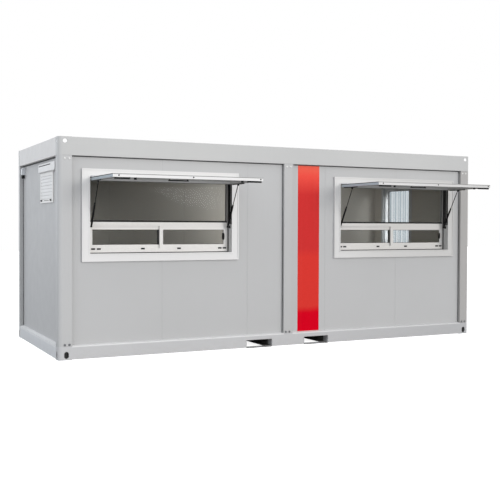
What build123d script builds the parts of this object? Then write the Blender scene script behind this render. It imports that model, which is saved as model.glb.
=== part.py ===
from build123d import *
import os
from math import atan2, degrees, hypot

# Ticket booth: a movable cabin in a steel frame, with two serving windows under lift-up flaps.
# Millimetres. The ground is z = 0, the serving side faces -Y and the length runs along X.

# Overall box of the cabin without its flaps
length = 6000
width = 2438
height = 2600

# Steel frame
corner_radius = 50
base_height = 163
rail_lift = 8
fascia_height = 217
post_width = 160
post_depth = 130
middle_post_width = 130
rail_plate = 6
fascia_fold = 5
base_lip = 60
roof_lip = 60

# Corner blocks: hollow below with upright slots, solid above with round lifting holes
block_wall = 14
slot_width = 55
slot_height = 82
slot_inset = 95
end_slot_inset = 80
slot_level = 60
lift_hole_radius = 26
lift_hole_depth = 40
lift_hole_inset = 79
lift_hole_drop = 50

# Fork pockets, joists and floor
fork_spacing = 842
fork_width = 364
fork_height = 90
fork_plate = 5
joist_width = 50
joist_height = 80
joist_plate = 5
joist_shares = (0.2, 0.45, 0.7, 0.95)
deck_thickness = 30

# Roof
ceiling_thickness = 40
roof_thickness = 92
roof_rib_height = 35
roof_rib_top = 30
roof_rib_base = 70
roof_rib_pitch = 250

# Wall panels, set back from the posts and joined by tongue and groove
side_recess = 45
end_recess = 50
wall_thickness = 80
panel_pitch = 1150
end_panel = 1269
panel_gap = 2
joint_chamfer = 4
tongue_depth = 18
tongue_share = 1 / 3

# Red stripe on the serving side
stripe_width = 325
stripe_inset = 95
stripe_foot = 12
stripe_film = 1

# Serving windows
window_side_gap = 121
opening_width = 1818
opening_height = 906
opening_head_drop = 240
casing_border = 95
casing_proud = 30
casing_lip = 14
casing_step = 6
liner_wall = 20
window_set_back = 110
window_depth = 60
window_stile = 18
window_foot = 55
window_head = 18
transom_level = 330
transom_height = 50
sash_border = 36
sash_depth = 24
sash_overlap = 27
glass_thickness = 6
pane_thickness = 8
bead_width = 10
bead_depth = 10
sash_bead = 7

# Flaps
flap_gap = 6
flap_thickness = 40
flap_border = 45
flap_recess = 26
knuckle_radius = 8
hinge_pin_radius = 4
hinge_clearance = 0.1
hinge_leaf = 2.5
hinge_leaf_reach = 12
hinge_rise = 3
hinge_parts = 5
hinge_part_gap = 0.5

# Gas struts, one beside each jamb
strut_inset = 30
strut_reach = 240
strut_offset = 66
strut_foot_depth = 64
strut_foot_level = 320
strut_stud_radius = 4
strut_stud_clearance = 0.1
strut_eye_radius = 9
rod_eye_width = 12
tube_eye_width = 21
tube_radius = 10
tube_length = 320
tube_floor = 25
rod_radius = 5
rod_length = 324
rod_clearance = 0.3
pivot_gap = 0.3
ear_plate = 4
ear_width = 36
foot_plate = 4
foot_width = 34

# Latches on the inner face of each flap
bolt_length = 174
bolt_width = 26
bolt_plate = 3
bolt_rod_radius = 6
bolt_rod_rise = 4
bolt_inset = 19
bolt_edge = 16
stop_inset = 258
stop_edge = 22
stop_radius = 15
stop_height = 24
handle_length = 250
handle_edge = 400
handle_radius = 7
handle_post_radius = 6
handle_height = 34

# Small window in the left end wall
end_window_width = 702
end_window_height = 377
end_window_side_gap = 316
end_window_border = 45
end_window_proud = 12
end_window_depth = 70
end_sash_border = 45
end_sash_step = 9
end_sash_depth = 40

# Shutter box over the small window
shutter_box_width = 906
shutter_box_height = 110
shutter_box_depth = 38
shutter_box_drop = 50
shutter_box_fold = 8
shutter_slot_height = 12
shutter_slot_depth = 10
shutter_slot_drop = 21
shutter_slot_inset = 20
slat_count = 7
slat_edge = 8
slat_valley = 3
slat_crest = 7.5

# Entry door in the right end wall
door_width = 860
door_side_gap = 194
door_head_drop = 100
door_jamb = 45
door_jamb_proud = 4
door_gap = 6
door_thickness = 45
door_stile = 80
door_mid_level = 1000
door_mid_rail = 120
door_panel_recess = 12
door_sill = 10
door_hinge_radius = 9
door_hinge_pin = 5
door_hinge_clearance = 0.1
door_hinge_height = 45
door_hinge_gap = 0.5
door_hinge_leaf = 4
door_hinge_shares = (0.1, 0.5, 0.88)
door_handle_level = 1050
door_handle_plate_height = 220
door_handle_plate_width = 36
door_handle_plate = 6
door_lever_radius = 9
door_stem_radius = 7
door_lever_length = 120
door_lever_stand = 36

# Power inlet on the left end wall, beside the rear post
inlet_width = 76
inlet_height = 105
inlet_depth = 46
inlet_slope = 22
inlet_drop = 22
inlet_side_gap = 52
socket_radius = 20
socket_length = 46
socket_rim_radius = 22
socket_rim = 6
socket_wall = 4
socket_set_back = 23

# Every cut passes its face by this much
overrun = 20

# Places that follow from the sizes above
half_length = length / 2
half_width = width / 2
wall_top = height - fascia_height
side_out = half_width - side_recess
side_in = side_out - wall_thickness
end_out = half_length - end_recess
end_in = end_out - wall_thickness
bay_end = half_length - post_width
end_bay = half_width - post_depth
floor_under = base_height - rail_plate
floor_top = floor_under + deck_thickness
casing_front = -(side_out + casing_proud)
window_front = casing_front + window_set_back
window_back = window_front + window_depth
opening_head = wall_top - opening_head_drop
opening_sill = opening_head - opening_height
window_offset = bay_end - window_side_gap - casing_border - opening_width / 2
flap_half = opening_width / 2 - flap_gap
hinge_y = casing_front - knuckle_radius
hinge_z = opening_head + hinge_rise
flap_start = knuckle_radius
flap_end = hinge_z - opening_sill - flap_gap
flap_under = knuckle_radius + flap_thickness
strut_x = opening_width / 2 - strut_inset
strut_foot_y = casing_front + strut_foot_depth
strut_foot_z = opening_sill + strut_foot_level
strut_tip_y = hinge_y - strut_reach
strut_tip_z = hinge_z - strut_offset
strut_open = hypot(strut_tip_y - strut_foot_y, strut_tip_z - strut_foot_z)
strut_closed = hypot(hinge_y + strut_offset - strut_foot_y, hinge_z - strut_reach - strut_foot_z)
strut_lean = degrees(atan2(strut_foot_y - strut_tip_y, strut_tip_z - strut_foot_z))
end_window_low = end_window_side_gap - end_bay
end_window_high = end_window_low + end_window_width
shutter_box_under = wall_top - shutter_box_drop - shutter_box_height
end_window_sill = shutter_box_under - end_window_height
fork_centre = fork_spacing / 2
fork_floor = rail_lift + rail_plate
door_head = wall_top - door_head_drop
door_high = end_bay - door_side_gap
door_low = door_high - door_width


def slab(x, y, z):
    size = Box(x[1] - x[0], y[1] - y[0], z[1] - z[0])
    return Pos((x[0] + x[1]) / 2, (y[0] + y[1]) / 2, (z[0] + z[1]) / 2) * size


def span(a, b):
    return (min(a, b), max(a, b))


def ring(x, y, z, border):
    hole_x = (x[0] + border, x[1] - border)
    hole_z = (z[0] + border, z[1] - border)
    hole_y = (y[0] - overrun, y[1] + overrun)
    return slab(x, y, z) - slab(hole_x, hole_y, hole_z)


def along_x(points, x):
    face = Plane.YZ * make_face(Polyline(*points, close=True))
    return Pos(x[0], 0, 0) * extrude(face, amount=x[1] - x[0], dir=(1, 0, 0))


def along_y(points, y):
    face = Plane.XZ * make_face(Polyline(*points, close=True))
    return Pos(0, y[0], 0) * extrude(face, amount=y[1] - y[0], dir=(0, 1, 0))


def along_z(points, z):
    face = make_face(Polyline(*points, close=True))
    return Pos(0, 0, z[0]) * extrude(face, amount=z[1] - z[0], dir=(0, 0, 1))


def round_bar(axis, centre, radius, reach):
    turn = {"x": Rot(0, 90, 0), "y": Rot(90, 0, 0), "z": Rot(0, 0, 0)}[axis]
    middle = (reach[0] + reach[1]) / 2
    places = {"x": (middle, *centre), "y": (centre[0], middle, centre[1]), "z": (*centre, middle)}
    return Pos(*places[axis]) * turn * Cylinder(radius, reach[1] - reach[0])


def write(node, *solids):
    export_step(Compound(children=[s for shape in solids for s in shape.solids()]), f"parts/{node}.step")


def corner_square(side_x, side_y, z):
    x = span(side_x * half_length, side_x * bay_end)
    y = span(side_y * half_width, side_y * end_bay)
    square = slab(x, y, z)
    corner = (side_x * half_length, side_y * half_width, (z[0] + z[1]) / 2)
    outer = square.edges().filter_by(Axis.Z).sort_by_distance(corner)[0]
    return fillet(outer, corner_radius)


def bottom_corner_blocks():
    blocks = []
    for side_x in (-1, 1):
        for side_y in (-1, 1):
            block = corner_square(side_x, side_y, (0, base_height))
            hollow_x = span(side_x * (half_length - block_wall), side_x * (bay_end + block_wall))
            hollow_y = span(side_y * (half_width - block_wall), side_y * (end_bay + block_wall))
            hollow = slab(hollow_x, hollow_y, (block_wall, base_height - block_wall))
            inner = (side_x * half_length, side_y * half_width, base_height / 2)
            edge = hollow.edges().filter_by(Axis.Z).sort_by_distance(inner)[0]
            block -= fillet(edge, corner_radius - block_wall)
            slot = Plane.XZ * SlotOverall(slot_height, slot_width, rotation=90)
            front = extrude(slot, amount=block_wall + overrun, both=True)
            block -= Pos(side_x * (half_length - slot_inset), side_y * half_width, slot_level) * front
            end_slot = Plane.YZ * SlotOverall(slot_height, slot_width, rotation=90)
            end = extrude(end_slot, amount=block_wall + overrun, both=True)
            block -= Pos(side_x * half_length, side_y * (half_width - end_slot_inset), slot_level) * end
            blocks.append(block)
    return blocks


def top_corner_blocks():
    blocks = []
    level = height - lift_hole_drop
    for side_x in (-1, 1):
        for side_y in (-1, 1):
            block = corner_square(side_x, side_y, (wall_top, height))
            hole_x = side_x * (half_length - lift_hole_inset)
            hole_y = side_y * (half_width - lift_hole_inset)
            front = span(side_y * (half_width + overrun), side_y * (half_width - lift_hole_depth))
            end = span(side_x * (half_length + overrun), side_x * (half_length - lift_hole_depth))
            block -= round_bar("y", (hole_x, level), lift_hole_radius, front)
            block -= round_bar("x", (hole_y, level), lift_hole_radius, end)
            blocks.append(block)
    return blocks


def channel(face, side, z, flange_low, flange_high):
    out = side * face
    web = side * (face - rail_plate)
    low = side * (face - flange_low)
    high = side * (face - flange_high)
    under = z[0] + rail_plate
    over = z[1] - rail_plate
    lower = [(out, z[0]), (low, z[0]), (low, under), (web, under)]
    upper = [(web, over), (high, over), (high, z[1]), (out, z[1])]
    return lower + upper


def folded(rail, run, across, out):
    # The sheet's outer folds are rounded
    near = (out - rail_plate / 2, out + rail_plate / 2)
    return fillet(rail.edges().filter_by(run).filter_by_position(across, *near), fascia_fold)


def side_bottom_rail(side):
    section = channel(half_width, side, (rail_lift, base_height), base_lip, half_width - side_in)
    rail = along_x(section, (-bay_end, bay_end))
    for pocket in (-1, 1):
        x = (pocket * fork_centre - fork_width / 2, pocket * fork_centre + fork_width / 2)
        y = span(side * (half_width + overrun), side * (half_width - rail_plate - fork_plate))
        rail -= slab(x, y, (fork_floor, fork_floor + fork_height))
    return rail


def end_bottom_rail(side):
    section = channel(half_length, side, (rail_lift, base_height), base_lip, half_length - end_in)
    return along_y(section, (-end_bay, end_bay))


def side_top_rail(side):
    section = channel(half_width, side, (wall_top, height), half_width - side_in, roof_lip)
    rail = along_x(section, (-bay_end, bay_end))
    return folded(rail, Axis.X, Axis.Y, side * half_width)


def end_top_rail(side):
    section = channel(half_length, side, (wall_top, height), half_length - end_in, roof_lip)
    rail = along_y(section, (-end_bay, end_bay))
    return folded(rail, Axis.Y, Axis.X, side * half_length)


def fork_tunnels():
    tunnels = []
    reach = half_width - rail_plate
    roof = fork_floor + fork_height
    inner = fork_width / 2
    outer = inner + fork_plate
    for side in (-1, 1):
        x = side * fork_centre
        section = [(x - outer, fork_floor), (x - inner, fork_floor), (x - inner, roof), (x + inner, roof)]
        section += [(x + inner, fork_floor), (x + outer, fork_floor)]
        section += [(x + outer, roof + fork_plate), (x - outer, roof + fork_plate)]
        tunnels.append(along_y(section, (-reach, reach)))
    return tunnels


def floor_joists():
    first = fork_centre + fork_width / 2 + fork_plate
    room = bay_end - joist_width - first
    places = [0] + [side * (first + share * room) for side in (-1, 1) for share in joist_shares]
    low = floor_under - joist_height
    joists = []
    for x in places:
        left = x - joist_width / 2
        right = x + joist_width / 2
        web = left + joist_plate
        section = [(left, low), (right, low), (right, low + joist_plate), (web, low + joist_plate)]
        section += [(web, floor_under - joist_plate), (right, floor_under - joist_plate)]
        section += [(right, floor_under), (left, floor_under)]
        joists.append(along_y(section, (rail_plate - half_width, half_width - rail_plate)))
    return joists


def floor_deck():
    deck = slab((-end_in, end_in), (-side_in, side_in), (floor_under, floor_top))
    for side_x in (-1, 1):
        for side_y in (-1, 1):
            x = span(side_x * bay_end, side_x * half_length)
            y = span(side_y * end_bay, side_y * half_width)
            deck -= slab(x, y, (0, base_height + floor_top))
    return deck


def roof_plan(shape):
    for side_x in (-1, 1):
        for side_y in (-1, 1):
            x = span(side_x * bay_end, side_x * half_length)
            y = span(side_y * end_bay, side_y * half_width)
            shape -= slab(x, y, (wall_top, height))
    return shape


def ceiling_panel():
    low = wall_top + rail_plate
    x = half_length - rail_plate
    y = half_width - rail_plate
    return roof_plan(slab((-x, x), (-y, y), (low, low + ceiling_thickness)))


def roof_deck():
    low = wall_top + rail_plate + ceiling_thickness
    top = low + roof_thickness
    x_end = half_length - rail_plate
    y_end = half_width - rail_plate
    ribs = int((bay_end * 2 - roof_rib_base) / roof_rib_pitch)
    first = -(ribs - 1) * roof_rib_pitch / 2
    section = [(-x_end, low), (x_end, low), (x_end, top)]
    for number in reversed(range(ribs)):
        x = first + number * roof_rib_pitch
        section += [(x + roof_rib_base / 2, top), (x + roof_rib_top / 2, top + roof_rib_height)]
        section += [(x - roof_rib_top / 2, top + roof_rib_height), (x - roof_rib_base / 2, top)]
    section.append((-x_end, top))
    return roof_plan(along_y(section, (-y_end, y_end)))


def panel_run(start, stop, joints, out, inn):
    # Plan outlines of the panels from start to stop, with a tongue before and a groove after each joint
    edges = [start, *joints, stop]
    middle = (out + inn) / 2
    half = abs(inn - out) * tongue_share / 2
    way = 1 if inn > out else -1
    outlines = []
    for number in range(len(edges) - 1):
        low = edges[number] + (panel_gap / 2 if number else 0)
        high = edges[number + 1] - (panel_gap / 2 if number < len(joints) else 0)
        outline = []
        if number:
            outline += [(low, out + way * joint_chamfer), (low + joint_chamfer, out)]
        else:
            outline.append((low, out))
        if number < len(joints):
            outline += [(high - joint_chamfer, out), (high, out + way * joint_chamfer)]
        else:
            outline.append((high, out))
        if number < len(joints):
            outline += [(high, middle - way * half), (high + tongue_depth, middle - way * half)]
            outline += [(high + tongue_depth, middle + way * half), (high, middle + way * half)]
        outline += [(high, inn), (low, inn)]
        if number:
            groove = half + panel_gap / 2
            depth = low + tongue_depth
            outline += [(low, middle + way * groove), (depth, middle + way * groove)]
            outline += [(depth, middle - way * groove), (low, middle - way * groove)]
        outlines.append(outline)
    return outlines


def side_wall(side, start, stop, joints):
    outlines = panel_run(start, stop, joints, side * side_out, side * side_in)
    return [along_z(outline, (base_height, wall_top)) for outline in outlines]


def bay_joints(bay):
    joints = [bay * panel_pitch / 2, bay * panel_pitch * 3 / 2]
    return sorted(joints)


def front_wall(bay):
    start, stop = span(bay * middle_post_width / 2, bay * bay_end)
    centre = bay * window_offset
    x = (centre - opening_width / 2 - liner_wall, centre + opening_width / 2 + liner_wall)
    z = (opening_sill - liner_wall, opening_head + liner_wall)
    hole = slab(x, (-half_width, 0), z)
    return [panel - hole for panel in side_wall(-1, start, stop, bay_joints(bay))]


def rear_wall(bay):
    start, stop = span(bay * middle_post_width / 2, bay * bay_end)
    return side_wall(1, start, stop, bay_joints(bay))


def end_panels(side, joints):
    outlines = panel_run(-end_bay, end_bay, joints, side * end_out, side * end_in)
    return [along_z([(x, y) for y, x in outline], (base_height, wall_top)) for outline in outlines]


def left_end_wall():
    y = (end_window_low, end_window_high)
    hole = slab((-half_length, 0), y, (end_window_sill, shutter_box_under))
    return [panel - hole for panel in end_panels(-1, [end_panel - end_bay])]


def right_end_wall():
    x = (end_in, end_out)
    front = slab(x, (-end_bay, door_low), (base_height, wall_top))
    rear = slab(x, (door_high, end_bay), (base_height, wall_top))
    over = slab(x, (door_low + panel_gap, door_high - panel_gap), (door_head, wall_top))
    return [front, rear, over]


def corner_posts(side_y):
    return [corner_square(side_x, side_y, (base_height, wall_top)) for side_x in (-1, 1)]


def middle_posts():
    x = (-middle_post_width / 2, middle_post_width / 2)
    return [slab(x, span(side * half_width, side * side_in), (base_height, wall_top)) for side in (-1, 1)]


def red_stripe():
    start = middle_post_width / 2 + stripe_inset
    y = (-(side_out + stripe_film), -side_out)
    film = slab((start, start + stripe_width), y, (base_height + stripe_foot, wall_top))
    # The film is trimmed round the window casing where it would reach that far
    reach = opening_width / 2 + casing_border + panel_gap
    casing_x = (window_offset - reach, window_offset + reach)
    casing_z = (opening_sill - casing_border - panel_gap, opening_head + casing_border + panel_gap)
    return film - slab(casing_x, (-half_width, 0), casing_z)


def window_casing(bay):
    centre = bay * window_offset
    x = (centre - opening_width / 2, centre + opening_width / 2)
    z = (opening_sill, opening_head)

    def frame(grow, border, y):
        wide = (x[0] - grow, x[1] + grow)
        tall = (z[0] - grow, z[1] + grow)
        return ring(wide, y, tall, border)

    plate = (casing_front + casing_step, -side_out)
    raised = (casing_front, casing_front + casing_step)
    casing = frame(casing_border, casing_border, plate)
    casing += frame(casing_border, casing_lip, raised)
    casing += frame(casing_lip, casing_lip, raised)
    casing += frame(liner_wall, liner_wall, (-side_out, window_back))
    return casing


def window_frame(bay):
    centre = bay * window_offset
    x = (centre - opening_width / 2, centre + opening_width / 2)
    y = (window_front, window_back)
    frame = slab(x, y, (opening_sill, opening_head))
    inner_x = (x[0] + window_stile, x[1] - window_stile)
    through = (y[0] - overrun, y[1] + overrun)
    transom = opening_sill + transom_level
    frame -= slab(inner_x, through, (opening_sill + window_foot, transom))
    pane_z = (transom + transom_height, opening_head - window_head)
    frame -= slab(inner_x, through, pane_z)
    # Glazing beads hold the upper pane from both sides
    middle = (window_front + window_back) / 2
    for side in (-1, 1):
        face = middle + side * pane_thickness / 2
        frame += ring(inner_x, span(face, face + side * bead_depth), pane_z, bead_width)
    return frame


def sash_spans(bay):
    centre = bay * window_offset
    reach = opening_width / 2 - window_stile
    middle = (window_front + window_back) / 2
    left = ((centre - reach, centre + sash_overlap / 2), (middle, middle + sash_depth))
    right = ((centre - sash_overlap / 2, centre + reach), (middle - sash_depth, middle))
    return left, right


def sash(x, y, glazing, z):
    # A frame with a slim bead on each side of its glass
    middle = sum(glazing) / 2
    frame = ring(x, y, z, sash_border)
    pane_x = (x[0] + sash_border, x[1] - sash_border)
    pane_z = (z[0] + sash_border, z[1] - sash_border)
    for side in (-1, 1):
        face = middle + side * glass_thickness / 2
        frame += ring(pane_x, span(face, face + side * sash_bead), pane_z, bead_width)
    return frame


def window_sashes(bay):
    z = (opening_sill + window_foot, opening_sill + transom_level)
    left, right = sash_spans(bay)
    front = (right[1][0], right[1][1] - pivot_gap)
    back = (left[1][0] + pivot_gap, left[1][1])
    return [sash(left[0], back, left[1], z), sash(right[0], front, right[1], z)]


def window_glass(bay):
    centre = bay * window_offset
    reach = opening_width / 2 - window_stile
    middle = (window_front + window_back) / 2
    upper_z = (opening_sill + transom_level + transom_height, opening_head - window_head)
    upper_y = (middle - pane_thickness / 2, middle + pane_thickness / 2)
    panes = [slab((centre - reach, centre + reach), upper_y, upper_z)]
    low = opening_sill + window_foot + sash_border
    high = opening_sill + transom_level - sash_border
    for x, y in sash_spans(bay):
        pane_y = (sum(y) / 2 - glass_thickness / 2, sum(y) / 2 + glass_thickness / 2)
        panes.append(slab((x[0] + sash_border, x[1] - sash_border), pane_y, (low, high)))
    return panes


def hinge_part(bay, number):
    start = bay * window_offset - flap_half
    step = 2 * flap_half / hinge_parts
    return (start + number * step + hinge_part_gap / 2, start + (number + 1) * step - hinge_part_gap / 2)


def flap_hinge(bay):
    start = bay * window_offset - flap_half
    x = (start, start + 2 * flap_half)
    hinge = round_bar("x", (hinge_y, hinge_z), hinge_pin_radius, x)
    for number in range(0, hinge_parts, 2):
        part = hinge_part(bay, number)
        hinge += round_bar("x", (hinge_y, hinge_z), knuckle_radius, part)
        hinge += slab(part, (casing_front - hinge_leaf, casing_front), (hinge_z, hinge_z + hinge_leaf_reach))
    return hinge


def flap_frame(bay):
    centre = bay * window_offset
    x = (centre - flap_half, centre + flap_half)
    y = (hinge_y - flap_end, hinge_y - flap_start)
    z = (hinge_z - flap_under, hinge_z - knuckle_radius)
    frame = slab(x, y, z)
    inner_x = (x[0] + flap_border, x[1] - flap_border)
    inner_y = (y[0] + flap_border, y[1] - flap_border)
    frame -= slab(inner_x, inner_y, (z[0] - overrun, z[1] + overrun))
    bore = hinge_pin_radius + hinge_clearance
    for number in range(1, hinge_parts, 2):
        part = hinge_part(bay, number)
        knuckle = round_bar("x", (hinge_y, hinge_z), knuckle_radius, part)
        leaf_y = (hinge_y - knuckle_radius - hinge_leaf_reach, hinge_y)
        knuckle += slab(part, leaf_y, (z[1], z[1] + hinge_leaf))
        long_part = (part[0] - overrun, part[1] + overrun)
        frame += knuckle - round_bar("x", (hinge_y, hinge_z), bore, long_part)
    return frame


def flap_skin(bay):
    centre = bay * window_offset
    reach = flap_half - flap_border
    y = (hinge_y - flap_end + flap_border, hinge_y - flap_start - flap_border)
    z = (hinge_z - flap_under + flap_recess, hinge_z - knuckle_radius)
    return slab((centre - reach, centre + reach), y, z)


def shoot_bolt(bay, side):
    # A flat plate with a sliding bar, beside the free edge of the flap
    under = hinge_z - flap_under
    far = bay * window_offset + side * (flap_half - bolt_inset)
    x = span(far, far - side * bolt_length)
    y = hinge_y - flap_end + bolt_edge
    plate = slab(x, (y - bolt_width / 2, y + bolt_width / 2), (under - bolt_plate, under))
    bar = round_bar("x", (y, under - bolt_plate - bolt_rod_rise), bolt_rod_radius, x)
    return plate + bar


def flap_stop(bay, side):
    under = hinge_z - flap_under
    x = bay * window_offset + side * (flap_half - stop_inset)
    y = hinge_y - flap_end + stop_edge
    return round_bar("z", (x, y), stop_radius, (under - stop_height, under))


def pull_handle(bay):
    under = hinge_z - flap_under + flap_recess
    centre = bay * window_offset
    x = (centre - handle_length / 2, centre + handle_length / 2)
    y = hinge_y - flap_end + handle_edge
    level = under - handle_height + handle_radius
    handle = round_bar("x", (y, level), handle_radius, x)
    for end in (x[0] + 2 * handle_radius, x[1] - 2 * handle_radius):
        handle += round_bar("z", (end, y), handle_post_radius, (level, under))
    return handle


def strut_ear(bay, side):
    # Angle under the flap with the stud that the rod's eye turns on
    under = hinge_z - flap_under
    x = bay * window_offset + side * strut_x
    inner = x + side * (rod_eye_width / 2 + pivot_gap)
    outer = inner + side * ear_plate
    y = (strut_tip_y - ear_width / 2, strut_tip_y + ear_width / 2)
    ear = slab(span(inner, outer), y, (strut_tip_z - strut_eye_radius, under))
    stud = span(x - side * rod_eye_width / 2, outer)
    return ear + round_bar("x", (strut_tip_y, strut_tip_z), strut_stud_radius, stud)


def flap_fittings(bay):
    parts = [pull_handle(bay)]
    for side in (-1, 1):
        parts += [shoot_bolt(bay, side), flap_stop(bay, side), strut_ear(bay, side)]
    return parts


def strut_place(bay, side):
    x = bay * window_offset + side * strut_x
    return Pos(x, strut_foot_y, strut_foot_z) * Rot(strut_lean, 0, 0)


def strut_tube(bay, side):
    bore = rod_radius + rod_clearance
    tube = round_bar("z", (0, 0), tube_radius, (0, tube_length))
    tube -= round_bar("z", (0, 0), bore, (tube_floor, tube_length + overrun))
    eye = round_bar("x", (0, 0), strut_eye_radius, (-tube_eye_width / 2, tube_eye_width / 2))
    return strut_place(bay, side) * (tube + eye)


def strut_rod(bay, side):
    rod = round_bar("z", (0, 0), rod_radius, (strut_open - rod_length, strut_open))
    eye = round_bar("x", (0, strut_open), strut_eye_radius, (-rod_eye_width / 2, rod_eye_width / 2))
    bore = strut_stud_radius + strut_stud_clearance
    hole = round_bar("x", (0, strut_open), bore, (-rod_eye_width, rod_eye_width))
    return strut_place(bay, side) * (rod + eye - hole)


def strut_foot(bay, side):
    # Plate on the jamb with a stud that meets the foot of the tube
    jamb = bay * window_offset + side * opening_width / 2
    x = bay * window_offset + side * (strut_x + tube_eye_width / 2 + pivot_gap)
    y = (strut_foot_y - foot_width / 2, strut_foot_y + foot_width / 2)
    z = (strut_foot_z - foot_width / 2, strut_foot_z + foot_width / 2)
    plate = slab(span(jamb, jamb - side * foot_plate), y, z)
    return plate + round_bar("x", (strut_foot_y, strut_foot_z), strut_stud_radius, span(jamb, x))


def both_sides(make, bay):
    return [make(bay, side) for side in (-1, 1)]


def end_window_frame():
    y = (end_window_low, end_window_high)
    z = (end_window_sill, shutter_box_under)
    front = -(end_out + end_window_proud)
    frame = end_ring((front, front + end_window_depth), y, z, end_window_border)
    sash_y = (y[0] + end_window_border, y[1] - end_window_border)
    sash_z = (z[0] + end_window_border, z[1] - end_window_border)
    step = front + end_sash_step
    return frame + end_ring((step, step + end_sash_depth), sash_y, sash_z, end_sash_border)


def end_ring(x, y, z, border):
    hole_y = (y[0] + border, y[1] - border)
    hole_z = (z[0] + border, z[1] - border)
    return slab(x, y, z) - slab((x[0] - overrun, x[1] + overrun), hole_y, hole_z)


def end_window_glass():
    border = end_window_border + end_sash_border
    step = end_sash_step - end_out - end_window_proud
    middle = step + end_sash_depth / 2
    x = (middle - glass_thickness / 2, middle + glass_thickness / 2)
    y = (end_window_low + border, end_window_high - border)
    return slab(x, y, (end_window_sill + border, shutter_box_under - border))


def end_shutter_curtain():
    # Interlocking slats, let down between the guides in front of the sash
    back = end_sash_step - end_out - end_window_proud
    low = end_window_sill + end_window_border
    pitch = (end_window_height - 2 * end_window_border) / slat_count
    section = [(back, low + slat_count * pitch), (back, low)]
    for number in range(slat_count):
        start = low + number * pitch
        stop = start + pitch
        section.append((back - slat_valley, start))
        section.append((back - slat_crest, start + slat_edge))
        section.append((back - slat_crest, stop - slat_edge))
    section.append((back - slat_valley, stop))
    y = (end_window_low + end_window_border, end_window_high - end_window_border)
    return along_y(section, y)


def end_shutter_box():
    # A folded sheet box over the small window, with a slot along its face
    top = shutter_box_under + shutter_box_height
    front = -(end_out + shutter_box_depth)
    section = [(-end_out, shutter_box_under), (-end_out, top), (front + shutter_box_fold, top)]
    section += [(front, top - shutter_box_fold), (front, shutter_box_under + shutter_box_fold)]
    section.append((front + shutter_box_fold, shutter_box_under))
    box = along_y(section, (end_window_high - shutter_box_width, end_window_high))
    slot_z = (top - shutter_slot_drop - shutter_slot_height, top - shutter_slot_drop)
    slot_y = (end_window_low + shutter_slot_inset, end_window_high - shutter_slot_inset)
    return box - slab((front - overrun, front + shutter_slot_depth), slot_y, slot_z)


# The leaf's outer face is flush with the frame, and it turns on pins outside that face
door_face = end_out + door_jamb_proud
door_axis_x = door_face + door_hinge_radius
leaf_low = door_low + door_jamb + door_gap
leaf_high = door_high - door_jamb - door_gap
leaf_foot = floor_top + door_sill
leaf_head = door_head - door_jamb - door_gap
door_axis_y = leaf_high + door_gap / 2
leaf_x = (door_face - door_thickness, door_face)


def door_hinge_levels():
    tall = leaf_head - leaf_foot
    return [leaf_foot + share * tall for share in door_hinge_shares]


def door_frame():
    x = (end_in, door_face)
    frame = slab(x, (door_low, door_high), (base_height, door_head))
    hole_y = (door_low + door_jamb, door_high - door_jamb)
    frame -= slab((x[0] - overrun, x[1] + overrun), hole_y, (floor_top, door_head - door_jamb))
    for level in door_hinge_levels():
        low = (level - door_hinge_height, level)
        frame += round_bar("z", (door_axis_x, door_axis_y), door_hinge_radius, low)
        leaf_y = (door_axis_y, door_axis_y + door_hinge_radius + door_jamb / 2)
        frame += slab((door_face, door_face + door_hinge_leaf), leaf_y, low)
        pin = (level, level + door_hinge_height)
        frame += round_bar("z", (door_axis_x, door_axis_y), door_hinge_pin, pin)
    return frame


def door_leaf():
    leaf = slab(leaf_x, (leaf_low, leaf_high), (leaf_foot, leaf_head))
    y = (leaf_low + door_stile, leaf_high - door_stile)
    through = (leaf_x[0] - overrun, leaf_x[1] + overrun)
    leaf -= slab(through, y, (door_mid_level + door_mid_rail, leaf_head - door_stile))
    panel_z = (leaf_foot + door_stile, door_mid_level)
    leaf -= slab((leaf_x[1] - door_panel_recess, through[1]), y, panel_z)
    leaf -= slab((through[0], leaf_x[0] + door_panel_recess), y, panel_z)
    bore = door_hinge_pin + door_hinge_clearance
    for level in door_hinge_levels():
        high = (level + door_hinge_gap, level + door_hinge_height)
        barrel = round_bar("z", (door_axis_x, door_axis_y), door_hinge_radius, high)
        leaf_y = (door_axis_y - door_hinge_radius - door_jamb / 2, door_axis_y)
        barrel += slab((door_face, door_face + door_hinge_leaf), leaf_y, high)
        long_bore = (level - overrun, level + door_hinge_height + overrun)
        leaf += barrel - round_bar("z", (door_axis_x, door_axis_y), bore, long_bore)
    return leaf


def door_glass():
    middle = sum(leaf_x) / 2
    x = (middle - glass_thickness / 2, middle + glass_thickness / 2)
    y = (leaf_low + door_stile, leaf_high - door_stile)
    return slab(x, y, (door_mid_level + door_mid_rail, leaf_head - door_stile))


def door_handles():
    handles = []
    y = leaf_low + door_stile / 2
    for face, way in ((leaf_x[1], 1), (leaf_x[0], -1)):
        plate_y = (y - door_handle_plate_width / 2, y + door_handle_plate_width / 2)
        half = door_handle_plate_height / 2
        plate_x = span(face, face + way * door_handle_plate)
        handle = slab(plate_x, plate_y, (door_handle_level - half, door_handle_level + half))
        lever_x = face + way * door_lever_stand
        stem = span(face, lever_x)
        handle += round_bar("x", (y, door_handle_level), door_stem_radius, stem)
        lever = (y - door_lever_radius, y + door_lever_length)
        handle += round_bar("y", (lever_x, door_handle_level), door_lever_radius, lever)
        handles.append(handle)
    return handles


inlet_high = end_bay - inlet_side_gap
inlet_low = inlet_high - inlet_width
inlet_top = wall_top - inlet_drop
inlet_under = inlet_top - inlet_height


def power_inlet():
    # A housing with a sloping hood
    front = -(end_out + inlet_depth)
    section = [(-end_out, inlet_under), (-end_out, inlet_top), (front + inlet_slope, inlet_top)]
    section += [(front, inlet_top - inlet_slope), (front, inlet_under)]
    return along_y(section, (inlet_low, inlet_high))


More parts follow.
